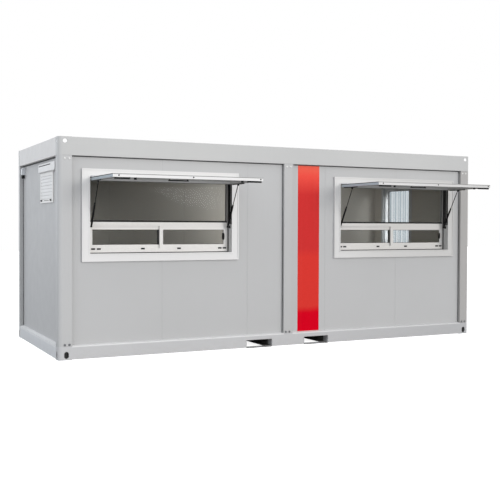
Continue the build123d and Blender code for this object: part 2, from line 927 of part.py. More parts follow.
def inlet_socket():
    # The round socket under the housing, open below
    centre = (-(end_out + socket_set_back), (inlet_low + inlet_high) / 2)
    foot = inlet_under - socket_length
    socket = round_bar("z", centre, socket_radius, (foot, inlet_under))
    socket += round_bar("z", centre, socket_rim_radius, (foot, foot + socket_rim))
    mouth = (foot - overrun, foot + socket_length / 2)
    return socket - round_bar("z", centre, socket_radius - socket_wall, mouth)


os.makedirs("parts", exist_ok=True)

write("front_bottom_rail", side_bottom_rail(-1))
write("rear_bottom_rail", side_bottom_rail(1))
write("end_bottom_rails", end_bottom_rail(-1), end_bottom_rail(1))
write("bottom_corner_blocks", *bottom_corner_blocks())
write("fork_tunnels", *fork_tunnels())
write("floor_joists", *floor_joists())
write("floor_deck", floor_deck())
write("front_corner_posts", *corner_posts(-1))
write("rear_corner_posts", *corner_posts(1))
write("middle_posts", *middle_posts())
write("front_top_rail", side_top_rail(-1))
write("rear_top_rail", side_top_rail(1))
write("end_top_rails", end_top_rail(-1), end_top_rail(1))
write("top_corner_blocks", *top_corner_blocks())
write("ceiling_panel", ceiling_panel())
write("roof_deck", roof_deck())
write("rear_wall", *rear_wall(-1), *rear_wall(1))
write("left_end_wall", *left_end_wall())
write("right_end_wall", *right_end_wall())
write("red_stripe", red_stripe())
write("end_window_frame", end_window_frame())
write("end_window_glass", end_window_glass())
write("end_shutter_curtain", end_shutter_curtain())
write("end_shutter_box", end_shutter_box())
write("door_frame", door_frame())
write("door_leaf", door_leaf())
write("door_glass", door_glass())
write("door_handles", *door_handles())
write("power_inlet", power_inlet())
write("inlet_socket", inlet_socket())

for name, bay in (("left", -1), ("right", 1)):
    write(f"front_{name}_wall", *front_wall(bay))
    write(f"{name}_window_casing", window_casing(bay))
    write(f"{name}_window_frame", window_frame(bay))
    write(f"{name}_window_sashes", *window_sashes(bay))
    write(f"{name}_window_glass", *window_glass(bay))
    write(f"{name}_flap_hinge", flap_hinge(bay))
    write(f"{name}_flap_frame", flap_frame(bay))
    write(f"{name}_flap_skin", flap_skin(bay))
    write(f"{name}_flap_fittings", *flap_fittings(bay))
    write(f"{name}_strut_tubes", *both_sides(strut_tube, bay))
    write(f"{name}_strut_rods", *both_sides(strut_rod, bay))
    write(f"{name}_strut_feet", *both_sides(strut_foot, bay))

print(f"strut open {strut_open:.3f} closed {strut_closed:.3f} lean {strut_lean:.3f}")
print(f"hinge {hinge_y:.1f} {hinge_z:.1f}  strut tip {strut_tip_y:.1f} {strut_tip_z:.1f}")
print(f"door axis {door_axis_x:.1f} {door_axis_y:.1f}")
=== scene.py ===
import math
import bmesh
import bpy
from mathutils import Matrix, Vector


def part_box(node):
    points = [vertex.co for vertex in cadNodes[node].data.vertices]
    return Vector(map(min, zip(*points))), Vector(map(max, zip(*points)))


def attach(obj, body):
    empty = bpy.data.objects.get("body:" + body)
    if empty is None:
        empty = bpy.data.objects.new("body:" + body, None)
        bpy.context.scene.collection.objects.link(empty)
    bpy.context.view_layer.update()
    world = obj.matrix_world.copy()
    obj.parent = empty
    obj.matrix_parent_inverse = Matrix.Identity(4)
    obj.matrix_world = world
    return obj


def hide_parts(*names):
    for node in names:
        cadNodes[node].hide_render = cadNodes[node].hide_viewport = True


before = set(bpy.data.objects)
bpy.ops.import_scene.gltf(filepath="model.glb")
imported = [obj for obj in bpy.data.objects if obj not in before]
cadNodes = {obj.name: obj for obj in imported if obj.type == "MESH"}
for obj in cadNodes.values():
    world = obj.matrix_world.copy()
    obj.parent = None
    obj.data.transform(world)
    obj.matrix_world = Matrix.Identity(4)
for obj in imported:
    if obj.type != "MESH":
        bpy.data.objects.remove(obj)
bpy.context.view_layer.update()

print("frame loaded with", len(cadNodes), "nodes")


def newObject(name, data):
    item = bpy.data.objects.new(name, data)
    bpy.context.scene.collection.objects.link(item)
    return item


# Camera, from the vanishing lines of the rails and posts
view = {
    "place": (-5.3019, -11.2946, 1.5854),
    "yaw": 0.4794,  # radians, all three
    "pitch": -0.0194,
    "roll": 0.0041,
    "lens": 62.486,
    "shift": (-0.06844, -0.01647),
}


def setCamera():
    yaw, pitch, roll = view["yaw"], view["pitch"], view["roll"]
    ahead = Vector((math.sin(yaw) * math.cos(pitch), math.cos(yaw) * math.cos(pitch), math.sin(pitch)))
    across = Vector((math.cos(yaw), -math.sin(yaw), 0))
    upward = across.cross(ahead)
    right = across * math.cos(roll) + upward * math.sin(roll)
    up = upward * math.cos(roll) - across * math.sin(roll)
    lens = bpy.data.cameras.new("boothCamera")
    lens.sensor_fit = "HORIZONTAL"
    lens.sensor_width = 36
    lens.lens = view["lens"]
    lens.shift_x, lens.shift_y = view["shift"]
    lens.clip_end = 200
    camera = newObject("boothCamera", lens)
    turn = Matrix((right, up, -ahead)).transposed().to_4x4()
    camera.matrix_world = Matrix.Translation(view["place"]) @ turn
    bpy.context.scene.camera = camera


setCamera()


# Shader helpers
def tone(red, green, blue):
    def straight(c):
        c = c / 255
        return c / 12.92 if c <= 0.04045 else ((c + 0.055) / 1.055) ** 2.4
    return (straight(red), straight(green), straight(blue), 1.0)


def put(tree, kind, values=None, **settings):
    node = tree.nodes.new(kind)
    for key, value in settings.items():
        setattr(node, key, value)
    for key, value in (values or {}).items():
        if isinstance(value, bpy.types.NodeSocket):
            tree.links.new(value, node.inputs[key])
        else:
            node.inputs[key].default_value = value
    return node


def newGroup(name, inputs, outputs):
    group = bpy.data.node_groups.new(name, "ShaderNodeTree")
    for label, kind, start in inputs:
        socket = group.interface.new_socket(label, in_out="INPUT", socket_type=kind)
        socket.default_value = start
    for label, kind in outputs:
        group.interface.new_socket(label, in_out="OUTPUT", socket_type=kind)
    return group, put(group, "NodeGroupInput").outputs, put(group, "NodeGroupOutput").inputs


def groupNode(tree, group, values):
    return put(tree, "ShaderNodeGroup", values, node_tree=group).outputs


def math2(tree, operation, first, second, clamp=False):
    return put(tree, "ShaderNodeMath", {0: first, 1: second}, operation=operation, use_clamp=clamp).outputs[0]


def spread(tree, value, fromLow, fromHigh, toLow=0.0, toHigh=1.0):
    inputs = {"Value": value, "From Min": fromLow, "From Max": fromHigh, "To Min": toLow, "To Max": toHigh}
    return put(tree, "ShaderNodeMapRange", inputs).outputs["Result"]


def blendColour(tree, mask, first, second):
    return put(tree, "ShaderNodeMix", {0: mask, 6: first, 7: second}, data_type="RGBA").outputs[2]


def pointAt(tree):
    return put(tree, "ShaderNodeTexCoord").outputs["Object"]


def axisAt(tree, axis):
    return put(tree, "ShaderNodeSeparateXYZ", {0: pointAt(tree)}).outputs[axis]


def noiseAt(tree, scale, detail=3.0, stretch=None, roughness=0.5):
    where = pointAt(tree)
    if stretch:
        where = put(tree, "ShaderNodeMapping", {"Vector": where, "Scale": stretch}).outputs[0]
    inputs = {"Vector": where, "Scale": scale, "Detail": detail, "Roughness": roughness}
    return put(tree, "ShaderNodeTexNoise", inputs).outputs["Fac"]


colourSocket, valueSocket = "NodeSocketColor", "NodeSocketFloat"
surfaceOutputs = [("Colour", colourSocket), ("Roughness", valueSocket), ("Height", valueSocket)]
maskOutput = [("Mask", valueSocket)]


def aroundOne(group, cloud, amount):
    low, high = math2(group, "SUBTRACT", 1.0, amount), math2(group, "ADD", 1.0, amount)
    return spread(group, cloud, 0.3, 0.7, low, high)


def endSurface(group, given, result, factor, dulling, height):
    scaled = put(group, "ShaderNodeVectorMath", {0: given["Colour"], "Scale": factor}, operation="SCALE")
    group.links.new(scaled.outputs[0], result["Colour"])
    group.links.new(math2(group, "ADD", given["Gloss"], dulling, True), result["Roughness"])
    group.links.new(height, result["Height"])
    return group


def endMask(group, given, result, first, second):
    mask = math2(group, "MULTIPLY", math2(group, "MULTIPLY", first, second), given["Amount"], True)
    group.links.new(mask, result["Mask"])
    return group


# Sprayed paint: slow colour drift, orange peel, uneven gloss
def makeSprayGroup():
    inputs = [("Colour", colourSocket, (0.5, 0.5, 0.5, 1)), ("Drift", valueSocket, 0.03),
              ("Gloss", valueSocket, 0.4), ("Peel", valueSocket, 260.0)]
    group, given, result = newGroup("sprayedPaint", inputs, surfaceOutputs)
    factor = aroundOne(group, noiseAt(group, 0.85, 4.0), given["Drift"])
    dulling = spread(group, noiseAt(group, 7.0, 4.0), 0.3, 0.7, -0.05, 0.07)
    return endSurface(group, given, result, factor, dulling, noiseAt(group, given["Peel"], 2.0))


# Rain marks: thin upright runs, stronger below the fascia
def makeStreakGroup():
    group, given, result = newGroup("rainMarks", [("Amount", valueSocket, 0.1)], maskOutput)
    runs = noiseAt(group, 1.0, 5.0, (19.0, 19.0, 0.5), 0.6)
    fade = spread(group, axisAt(group, "Z"), 0.2, 2.5, 0.25, 1.0)
    return endMask(group, given, result, spread(group, runs, 0.54, 0.74), fade)


# Dust thrown up from the ground
def makeDustGroup():
    inputs = [("Level", valueSocket, 0.3), ("Amount", valueSocket, 0.2)]
    group, given, result = newGroup("groundDust", inputs, maskOutput)
    fall = spread(group, axisAt(group, "Z"), given["Level"], 0.0)
    speck = spread(group, noiseAt(group, 26.0, 6.0), 0.32, 0.72, 0.2, 1.0)
    return endMask(group, given, result, fall, speck)


# Moulded plastic and rubber: fine grain with slight colour mottling
def makeGrainGroup():
    inputs = [("Colour", colourSocket, (0.1, 0.1, 0.1, 1)), ("Mottle", valueSocket, 0.08),
              ("Gloss", valueSocket, 0.45), ("Grain", valueSocket, 700.0)]
    group, given, result = newGroup("mouldedGrain", inputs, surfaceOutputs)
    factor = aroundOne(group, noiseAt(group, 32.0, 4.0), given["Mottle"])
    dulling = spread(group, noiseAt(group, 90.0), 0.3, 0.7, -0.07, 0.09)
    return endSurface(group, given, result, factor, dulling, noiseAt(group, given["Grain"], 3.0))


# Drawn or rolled metal: fine lines along X
def makeDrawnGroup():
    inputs = [("Colour", colourSocket, (0.5, 0.5, 0.5, 1)), ("Gloss", valueSocket, 0.3)]
    group, given, result = newGroup("drawnMetal", inputs, surfaceOutputs)
    lines = noiseAt(group, 1.0, 5.0, (6.0, 900.0, 900.0), 0.65)
    factor = spread(group, lines, 0.3, 0.7, 0.86, 1.08)
    return endSurface(group, given, result, factor, spread(group, lines, 0.3, 0.7, -0.08, 0.12), lines)


# One inside the room, nought outside, for panels with two finishes
def makeRoomGroup():
    inputs = [("Length", valueSocket, 2.9), ("Width", valueSocket, 1.1)]
    group, given, result = newGroup("roomSide", inputs, maskOutput)
    shares = []
    for axis, reach in (("X", "Length"), ("Y", "Width")):
        shares.append(math2(group, "DIVIDE", math2(group, "ABSOLUTE", axisAt(group, axis), 0.0), given[reach]))
    mask = math2(group, "LESS_THAN", math2(group, "MAXIMUM", *shares), 1.0)
    group.links.new(mask, result["Mask"])
    return group


sprayGroup, streakGroup, dustGroup = makeSprayGroup(), makeStreakGroup(), makeDustGroup()
grainGroup, drawnGroup, roomGroup = makeGrainGroup(), makeDrawnGroup(), makeRoomGroup()
print("shader groups ready")


def newMaterial(name):
    material = bpy.data.materials.new(name)
    material.use_nodes = True
    tree = material.node_tree
    return material, tree, tree.nodes["Principled BSDF"]


def joinSurface(tree, shader, colour, grain, depth):
    # grain gives the roughness and the height
    tree.links.new(colour, shader.inputs["Base Color"])
    tree.links.new(grain["Roughness"], shader.inputs["Roughness"])
    bump = put(tree, "ShaderNodeBump", {"Height": grain["Height"], "Strength": 0.35, "Distance": depth})
    tree.links.new(bump.outputs[0], shader.inputs["Normal"])


def paintedShadeAlong(tree, colour, look):  # painted shade: darker towards the right end
    if "far" not in look:
        return colour
    return blendColour(tree, spread(tree, axisAt(tree, "X"), -0.6, 2.9), colour, look["far"])


# What a paint or a plastic has unless its own entry says otherwise
usualPaint = {"drift": 0.02, "gloss": 0.42, "peel": 240.0, "streak": 0.05, "streakColour": tone(150, 150, 146),
              "dust": 0.08, "dustLevel": 0.45, "dustColour": tone(160, 154, 144), "depth": 0.0006, "specular": 0.4,
              "roomLength": 2.91, "roomWidth": 1.125}
usualPlastic = {"mottle": 0.03, "gloss": 0.45, "grain": 700.0, "dust": 0.04, "dustLevel": 3.2,
                "dustColour": tone(170, 166, 158), "depth": 0.0004, "specular": 0.4}


def paintMaterial(name, look):
    look = {**usualPaint, **look}
    material, tree, shader = newMaterial(name)
    paint = groupNode(tree, sprayGroup, {"Colour": look["colour"], "Drift": look["drift"], "Gloss": look["gloss"],
                                         "Peel": look["peel"]})
    streak = groupNode(tree, streakGroup, {"Amount": look["streak"]})
    dust = groupNode(tree, dustGroup, {"Level": look["dustLevel"], "Amount": look["dust"]})
    colour = blendColour(tree, streak["Mask"], paint["Colour"], look["streakColour"])
    colour = blendColour(tree, dust["Mask"], colour, look["dustColour"])
    colour = paintedShadeAlong(tree, colour, look)
    if "room" in look:  # the inner face has its own board
        room = groupNode(tree, roomGroup, {"Length": look["roomLength"], "Width": look["roomWidth"]})
        colour = blendColour(tree, room["Mask"], colour, look["room"])
    joinSurface(tree, shader, colour, paint, look["depth"])
    shader.inputs["Specular IOR Level"].default_value = look["specular"]
    return material


def plasticMaterial(name, look):
    look = {**usualPlastic, **look}
    material, tree, shader = newMaterial(name)
    grain = groupNode(tree, grainGroup, {"Colour": look["colour"], "Mottle": look["mottle"], "Gloss": look["gloss"],
                                         "Grain": look["grain"]})
    dust = groupNode(tree, dustGroup, {"Level": look["dustLevel"], "Amount": look["dust"]})
    colour = blendColour(tree, dust["Mask"], grain["Colour"], look["dustColour"])
    joinSurface(tree, shader, paintedShadeAlong(tree, colour, look), grain, look["depth"])
    shader.inputs["Specular IOR Level"].default_value = look["specular"]
    return material


def metalMaterial(name, look):
    material, tree, shader = newMaterial(name)
    drawn = groupNode(tree, drawnGroup, {"Colour": look["colour"], "Gloss": look["gloss"]})
    joinSurface(tree, shader, drawn["Colour"], drawn, 0.0003)
    shader.inputs["Metallic"].default_value = 1.0
    return material


def glassMaterial(name, look):
    material, tree, shader = newMaterial(name)
    smear = spread(tree, noiseAt(tree, 5.0, 6.0, (1.0, 1.0, 0.4)), 0.35, 0.75, look["clear"], look["smeared"])
    tint = blendColour(tree, spread(tree, noiseAt(tree, 1.3), 0.3, 0.7), look["colour"], look["second"])
    if "bands" in look:  # upright bands of painted shade along the reeds of the pane
        lines = noiseAt(tree, 1.0, 1.0, (0.0, look["bands"], 0.0))
        tint = blendColour(tree, spread(tree, lines, 0.44, 0.60), tint, look["bandColour"])
    tree.links.new(smear, shader.inputs["Roughness"])
    tree.links.new(tint, shader.inputs["Base Color"])
    shader.inputs["Transmission Weight"].default_value = 1.0
    shader.inputs["IOR"].default_value = look["ior"]
    # Daylight passes straight through to the room
    path = put(tree, "ShaderNodeLightPath")
    clear = put(tree, "ShaderNodeBsdfTransparent", {"Color": look["colour"]})
    through = math2(tree, "MAXIMUM", path.outputs["Is Shadow Ray"], path.outputs["Is Diffuse Ray"])
    mixed = put(tree, "ShaderNodeMixShader", {0: through, 1: shader.outputs[0], 2: clear.outputs[0]})
    tree.links.new(mixed.outputs[0], tree.nodes["Material Output"].inputs["Surface"])
    return material


# far: painted shade, the darker tone a finish takes towards the right end
paints = {
    "fasciaPaint": {"colour": tone(178, 178, 177), "gloss": 0.36, "streak": 0.04, "drift": 0.012},
    "postPaint": {"colour": tone(176, 176, 176), "far": tone(160, 158, 156), "room": tone(182, 177, 169),
                  "gloss": 0.38, "drift": 0.015},
    "railPaint": {"colour": tone(183, 183, 184), "far": tone(170, 170, 171), "gloss": 0.38, "dust": 0.14,
                  "dustLevel": 0.24},
    # painted light: the end rails and end fascia take the front paint toned lighter
    "endRailPaint": {"colour": tone(202, 203, 205), "gloss": 0.38, "dustLevel": 0.24},
    "endFasciaPaint": {"colour": tone(200, 198, 196), "gloss": 0.38, "streak": 0.04, "drift": 0.015},
    "boltCapPaint": {"colour": tone(206, 206, 203), "gloss": 0.4, "streak": 0.0, "dust": 0.02},
    "wallSheet": {"colour": tone(175, 175, 175), "room": tone(186, 181, 173), "drift": 0.014, "gloss": 0.46,
                  "streak": 0.04, "dust": 0.04, "depth": 0.0005},
    "roofPaint": {"colour": tone(178, 180, 182), "gloss": 0.44, "streak": 0.12, "dust": 0.0, "drift": 0.04},
    "ceilingBoard": {"colour": tone(214, 212, 206), "gloss": 0.5, "streak": 0.0, "dust": 0.0},
    "casingPaint": {"colour": tone(212, 211, 210), "far": tone(188, 187, 185), "gloss": 0.34, "streak": 0.03,
                    "dust": 0.03, "drift": 0.01},
    "flapPaint": {"colour": tone(186, 185, 182), "far": tone(168, 167, 164), "gloss": 0.33, "streak": 0.03,
                  "dust": 0.0, "drift": 0.012},
    "flapSkinPaint": {"colour": tone(200, 199, 196), "gloss": 0.33, "streak": 0.03, "dust": 0.0, "drift": 0.012},
    "doorPaint": {"colour": tone(190, 192, 194), "gloss": 0.35, "streak": 0.04, "dust": 0.06, "drift": 0.015},
    "underframePaint": {"colour": tone(72, 72, 74), "gloss": 0.55, "streak": 0.0, "dust": 0.3, "dustLevel": 0.3},
    # painted light: lighter than the walls for the light on the upward slope
    "flashingPaint": {"colour": tone(212, 212, 212), "far": tone(196, 196, 196), "gloss": 0.4, "streak": 0.0,
                      "dust": 0.05},
    "jointPaint": {"colour": tone(172, 172, 172), "gloss": 0.5, "streak": 0.0, "dust": 0.0},
    "capPaint": {"colour": tone(238, 238, 237), "gloss": 0.3, "streak": 0.02, "dust": 0.02},
    "flapEndPaint": {"colour": tone(158, 168, 174), "gloss": 0.4, "streak": 0.0, "dust": 0.0},
}
plastics = {
    "windowPlastic": {"colour": tone(219, 217, 214), "far": tone(200, 198, 195), "gloss": 0.36, "grain": 900.0},
    "blackFitting": {"colour": tone(11, 11, 12), "gloss": 0.46, "mottle": 0.15, "dust": 0.0, "specular": 0.25},
    "rubberBlack": {"colour": tone(26, 26, 27), "gloss": 0.62, "mottle": 0.2, "dust": 0.08},
    "shadowRubber": {"colour": tone(70, 70, 71), "gloss": 0.66, "mottle": 0.12},
    "seamFiller": {"colour": tone(138, 138, 138), "gloss": 0.6, "mottle": 0.1},
    "tubeBlack": {"colour": tone(9, 9, 10), "gloss": 0.4, "mottle": 0.1, "dust": 0.0, "specular": 0.2},
    "stileCover": {"colour": tone(134, 133, 130), "gloss": 0.5, "mottle": 0.05},
    "edgeRubber": {"colour": tone(120, 119, 117), "gloss": 0.62, "mottle": 0.1},
    "inletPlastic": {"colour": tone(206, 208, 211), "gloss": 0.4},
}
metals = {
    "brightSteel": {"colour": tone(205, 206, 208), "gloss": 0.28},
    "zincBolt": {"colour": tone(136, 137, 139), "gloss": 0.42},
}
glasses = {
    "windowGlass": {"colour": tone(243, 245, 245), "second": tone(236, 240, 241), "clear": 0.0, "smeared": 0.03,
                    "ior": 1.12},
    "reededGlass": {"colour": tone(229, 231, 232), "second": tone(214, 218, 220), "clear": 0.05, "smeared": 0.14,
                    "ior": 1.45, "bands": 22.0, "bandColour": tone(176, 186, 192)},
}
finishes = {}
for looks, makeMaterial in ((paints, paintMaterial), (plastics, plasticMaterial), (metals, metalMaterial),
                            (glasses, glassMaterial)):
    for name, look in looks.items():
        finishes[name] = makeMaterial(name, look)


# Red film with painted reflection: lighter orange-red at the top for the reflected sky, full colour lower down, deep
# red over the foot for the reflected ground
redFilmWithReflection = {"top": tone(224, 98, 80), "upper": tone(218, 74, 63), "middle": tone(190, 46, 45),
           "low": tone(200, 51, 44), "foot": tone(197, 0, 27), "span": (0.175, 2.383),
           "stops": [(0.0, "foot"), (0.115, "foot"), (0.150, "low"), (0.45, "low"), (0.50, "middle"),
                     (0.82, "middle"), (0.93, "upper"), (1.0, "top")]}


def redFilmMaterial():
    material, tree, shader = newMaterial("redFilmWithReflection")
    ripple = spread(tree, noiseAt(tree, 2.2, 3.0), 0.0, 1.0, -0.03, 0.03)
    share = spread(tree, math2(tree, "ADD", axisAt(tree, "Z"), ripple), *redFilmWithReflection["span"])
    ramp = put(tree, "ShaderNodeValToRGB", {0: share})
    elements = ramp.color_ramp.elements
    while len(elements) < len(redFilmWithReflection["stops"]):
        elements.new(0.5)
    for element, (place, key) in zip(elements, redFilmWithReflection["stops"]):
        element.position = place
        element.color = redFilmWithReflection[key]
    streak = groupNode(tree, streakGroup, {"Amount": 0.02})
    colour = blendColour(tree, streak["Mask"], ramp.outputs[0], tone(190, 150, 140))
    grain = groupNode(tree, grainGroup, {"Colour": colour, "Mottle": 0.02, "Gloss": 0.3, "Grain": 420.0})
    joinSurface(tree, shader, grain["Colour"], grain, 0.0003)
    # the gloss is painted into the ramp as painted reflection, so the film's own specular stays low
    shader.inputs["Specular IOR Level"].default_value = 0.04
    return material


# Phenolic-faced deck: brown board with a fine grid
deck = {"board": tone(96, 76, 60), "dark": tone(70, 55, 44), "grid": 32.0}


def deckMaterial():
    material, tree, shader = newMaterial("floorDeck")
    veins = noiseAt(tree, 1.0, 6.0, (2.0, 24.0, 24.0), 0.62)
    colour = blendColour(tree, spread(tree, veins, 0.35, 0.7), deck["board"], deck["dark"])
    waves = []
    for axis in "XY":
        inputs = {"Vector": pointAt(tree), "Scale": deck["grid"]}
        waves.append(put(tree, "ShaderNodeTexWave", inputs, bands_direction=axis).outputs["Fac"])
    grain = {"Roughness": spread(tree, veins, 0.3, 0.7, 0.45, 0.62), "Height": math2(tree, "MAXIMUM", *waves)}
    joinSurface(tree, shader, colour, grain, 0.0006)
    return material


finishes["redFilmWithReflection"] = redFilmMaterial()
finishes["floorDeck"] = deckMaterial()

nodeFinish = {
    "frame_paint": "postPaint", "wall_panel": "wallSheet", "roof_sheet": "roofPaint", "ceiling_board": "ceilingBoard",
    "floor_board": "floorDeck", "underframe_steel": "underframePaint", "red_film": "redFilmWithReflection",
    "casing_white": "casingPaint", "flap_sheet": "flapPaint", "window_plastic": "windowPlastic",
    "glass": "windowGlass", "bright_steel": "brightSteel", "black_fittings": "blackFitting",
    "strut_rod": "tubeBlack", "strut_tube": "tubeBlack", "door_metal": "doorPaint", "inlet_plastic": "inletPlastic",
}
ownFinish = {
    "front_top_rail": "fasciaPaint", "rear_top_rail": "fasciaPaint", "end_top_rails": "endFasciaPaint",
    "top_corner_blocks": "fasciaPaint", "front_bottom_rail": "railPaint", "rear_bottom_rail": "railPaint",
    "end_bottom_rails": "endRailPaint", "bottom_corner_blocks": "railPaint",
    "left_flap_skin": "flapSkinPaint", "right_flap_skin": "flapSkinPaint",
}


def dressNodes():
    for name, node in cadNodes.items():
        slotName = node.data.materials[0].name.split(".")[0]
        finish = finishes[ownFinish.get(name) or nodeFinish[slotName]]
        node.data.materials.clear()
        node.data.materials.append(finish)


dressNodes()
print("finishes on", len(cadNodes), "nodes")


# Mesh helpers
def joinLoops(bm, first, second):
    for step in range(len(first)):
        after = (step + 1) % len(first)
        bm.faces.new((first[step], first[after], second[after], second[step]))


def addLathe(bm, place, direction, profile, sides=20, ends=True):
    # profile runs from the foot to the tip as (radius, height); without ends it is a ring
    turn = Vector((0, 0, 1)).rotation_difference(Vector(direction)).to_matrix().to_4x4()
    spot = Matrix.Translation(place) @ turn
    rings = []
    for radius, height in profile:
        ring = []
        for step in range(sides if radius > 1e-6 else 1):
            angle = 2 * math.pi * step / sides
            ring.append(bm.verts.new(spot @ Vector((radius * math.cos(angle), radius * math.sin(angle), height))))
        rings.append(ring)
    for lower, upper in zip(rings, rings[1:]):
        if len(upper) > 1:
            joinLoops(bm, lower, upper)
            continue
        for step in range(sides):
            bm.faces.new((lower[step], lower[(step + 1) % sides], upper[0]))
    for ring in (rings[0], rings[-1]):
        if ends and len(ring) > 1:
            bm.faces.new(ring)


def addBlock(bm, first, second, edge=0.0):
    low, high = Vector(map(min, first, second)), Vector(map(max, first, second))
    matrix = Matrix.Translation((low + high) / 2) @ Matrix.Diagonal((*(high - low), 1.0))
    corners = bmesh.ops.create_cube(bm, size=1.0, matrix=matrix)["verts"]
    if edge:
        edges = list({e for v in corners for e in v.link_edges})
        bmesh.ops.bevel(bm, geom=edges, offset=edge, segments=2, profile=0.7, affect="EDGES", clamp_overlap=True)


def addSlope(bm, corners, run):
    # a closed section of points, moved along run
    first = [bm.verts.new(Vector(c)) for c in corners]
    second = [bm.verts.new(Vector(c) + Vector(run)) for c in corners]
    joinLoops(bm, first, second)
    bm.faces.new(list(reversed(first)))
    bm.faces.new(second)


def addRing(bm, low, high, level, section, plane="xz"):
    # a mitred loop round a rectangle: section gives (inward, outward from the face)
    loops = []
    for u, v, signU, signV in ((low[0], low[1], 1, 1), (high[0], low[1], -1, 1),
                               (high[0], high[1], -1, -1), (low[0], high[1], 1, -1)):
        loop = []
        for inward, rise in section:
            a, b = u + signU * inward, v + signV * inward
            spots = {"xz": (a, level + rise, b), "yz": (level + rise, a, b), "xy": (a, b, level + rise)}
            loop.append(bm.verts.new(spots[plane]))
        loops.append(loop)
    for corner in range(4):
        joinLoops(bm, loops[corner], loops[(corner + 1) % 4])


def finishPiece(name, bm, finish, body="cabin", angle=35):
    bmesh.ops.recalc_face_normals(bm, faces=bm.faces)
    mesh = bpy.data.meshes.new(name)
    bm.to_mesh(mesh)
    bm.free()
    mesh.shade_smooth()
    mesh.set_sharp_from_angle(angle=math.radians(angle))
    mesh.materials.append(finishes[finish])
    piece = newObject(name, mesh)
    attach(piece, body)
    return piece


halfLength, halfWidth = 3.0, 1.219
wallFront, wallEnd, wallTop, wallFoot = 1.174, 2.950, 2.383, 0.163  # outer faces of the walls
bayEnd, endBay, postHalf = 2.840, 1.089, 0.065
bays = ((-bayEnd, -postHalf), (postHalf, bayEnd))
fourCorners = ((-1, -1), (-1, 1), (1, -1), (1, 1))


# Capped bolts at the heads of the posts, hexagon bolts at their feet
headBolts = {"size": 0.0125, "rise": 0.007, "flush": 0.0022, "level": 2.347, "middle": (-0.028, 0.028)}
footBolts = {"size": 0.0105, "rise": 0.009, "flush": 0.0023, "level": 0.182, "middle": (-0.035, 0.018)}
boltInset = {"corner": (0.074, 0.129), "end": 0.076, "sunk": 0.002}


def addCapBolt(bm, place, direction, size, rise):
    profile = [(size, 0), (size, rise * 0.35), (size * 0.86, rise * 0.72), (size * 0.55, rise * 0.93), (0, rise)]
    addLathe(bm, place, direction, profile)


def addHexBolt(bm, place, direction, size, rise):
    washer = [(size * 1.35, 0), (size * 1.35, rise * 0.22), (size * 1.25, rise * 0.28), (0, rise * 0.28)]
    addLathe(bm, place, direction, washer)
    addLathe(bm, place, direction, [(size, 0), (size, rise * 0.84), (size * 0.84, rise), (0, rise)], 6)


def addPostBolts(bm, b, addBolt):
    inset, level = boltInset, b["level"]
    places = [sign * (halfLength - reach) for sign in (-1, 1) for reach in inset["corner"]] + list(b["middle"])
    for x in places:
        addBolt(bm, (x, -halfWidth, level), (0, -1, 0), b["size"], b["rise"])
        addBolt(bm, (x, halfWidth - inset["sunk"], level), (0, 1, 0), b["size"], b["flush"])
    for sx, sy in fourCorners:
        spot = (sx * (halfLength - inset["sunk"]), sy * (halfWidth - inset["end"]), level)
        addBolt(bm, spot, (sx, 0, 0), b["size"], b["flush"])


def makeBolts():
    bm = bmesh.new()
    addPostBolts(bm, headBolts, addCapBolt)
    finishPiece("headBolts", bm, "boltCapPaint")
    bm = bmesh.new()
    addPostBolts(bm, footBolts, addHexBolt)
    finishPiece("footBolts", bm, "zincBolt")


makeBolts()


# White plugs in the lifting holes of the top corner blocks
liftPlugs = {"radius": 0.0256, "inset": 0.079, "level": 2.55, "sunk": 0.003, "length": 0.0145}


def makeLiftPlugs():
    bm = bmesh.new()
    p = liftPlugs
    r, length, level = p["radius"], p["length"], p["level"]
    profile = [(r, 0), (r, 0.012), (r * 0.93, length), (r * 0.74, length), (r * 0.68, 0.0132), (r * 0.3, 0.0138),
               (0, 0.014)]
    back = p["sunk"] + length
    for sx, sy in fourCorners:
        x, y = sx * (halfLength - p["inset"]), sy * (halfWidth - p["inset"])
        addLathe(bm, (x, sy * (halfWidth - back), level), (0, sy, 0), profile, 28)
        addLathe(bm, (sx * (halfLength - back), y, level), (sx, 0, 0), profile, 28)
    finishPiece("liftPlugs", bm, "capPaint")


makeLiftPlugs()


# Black liners behind the slots of the bottom corner blocks, painting the shade inside the slots
slotShadeLiners = {"depth": 0.030, "thick": 0.003, "low": 0.014, "high": 0.112, "inner": (2.862, 1.108)}


def makeSlotShadeLiners():
    s = slotShadeLiners
    bm = bmesh.new()
    innerX, innerY = s["inner"]
    outerX, outerY = halfLength - s["depth"], halfWidth - s["depth"]
    backX, backY = outerX - s["thick"], outerY - s["thick"]
    corners = [(innerX, outerY), (outerX, outerY), (outerX, innerY), (backX, innerY), (backX, backY), (innerX, backY)]
    for sx, sy in fourCorners:
        addSlope(bm, [(sx * x, sy * y, s["low"]) for x, y in corners], (0, 0, s["high"] - s["low"]))
    finishPiece("slotShadeLiners", bm, "rubberBlack")


makeSlotShadeLiners()
print("bolts, plugs and liners done")


# Dark rubber strips under the fascia and beside the posts, painting the shade line under the fascia and in the
# corners by the posts
wallShadeStrips = {"drop": 0.011, "endDrop": 0.015, "proud": 0.006, "side": 0.007, "edge": 0.002}


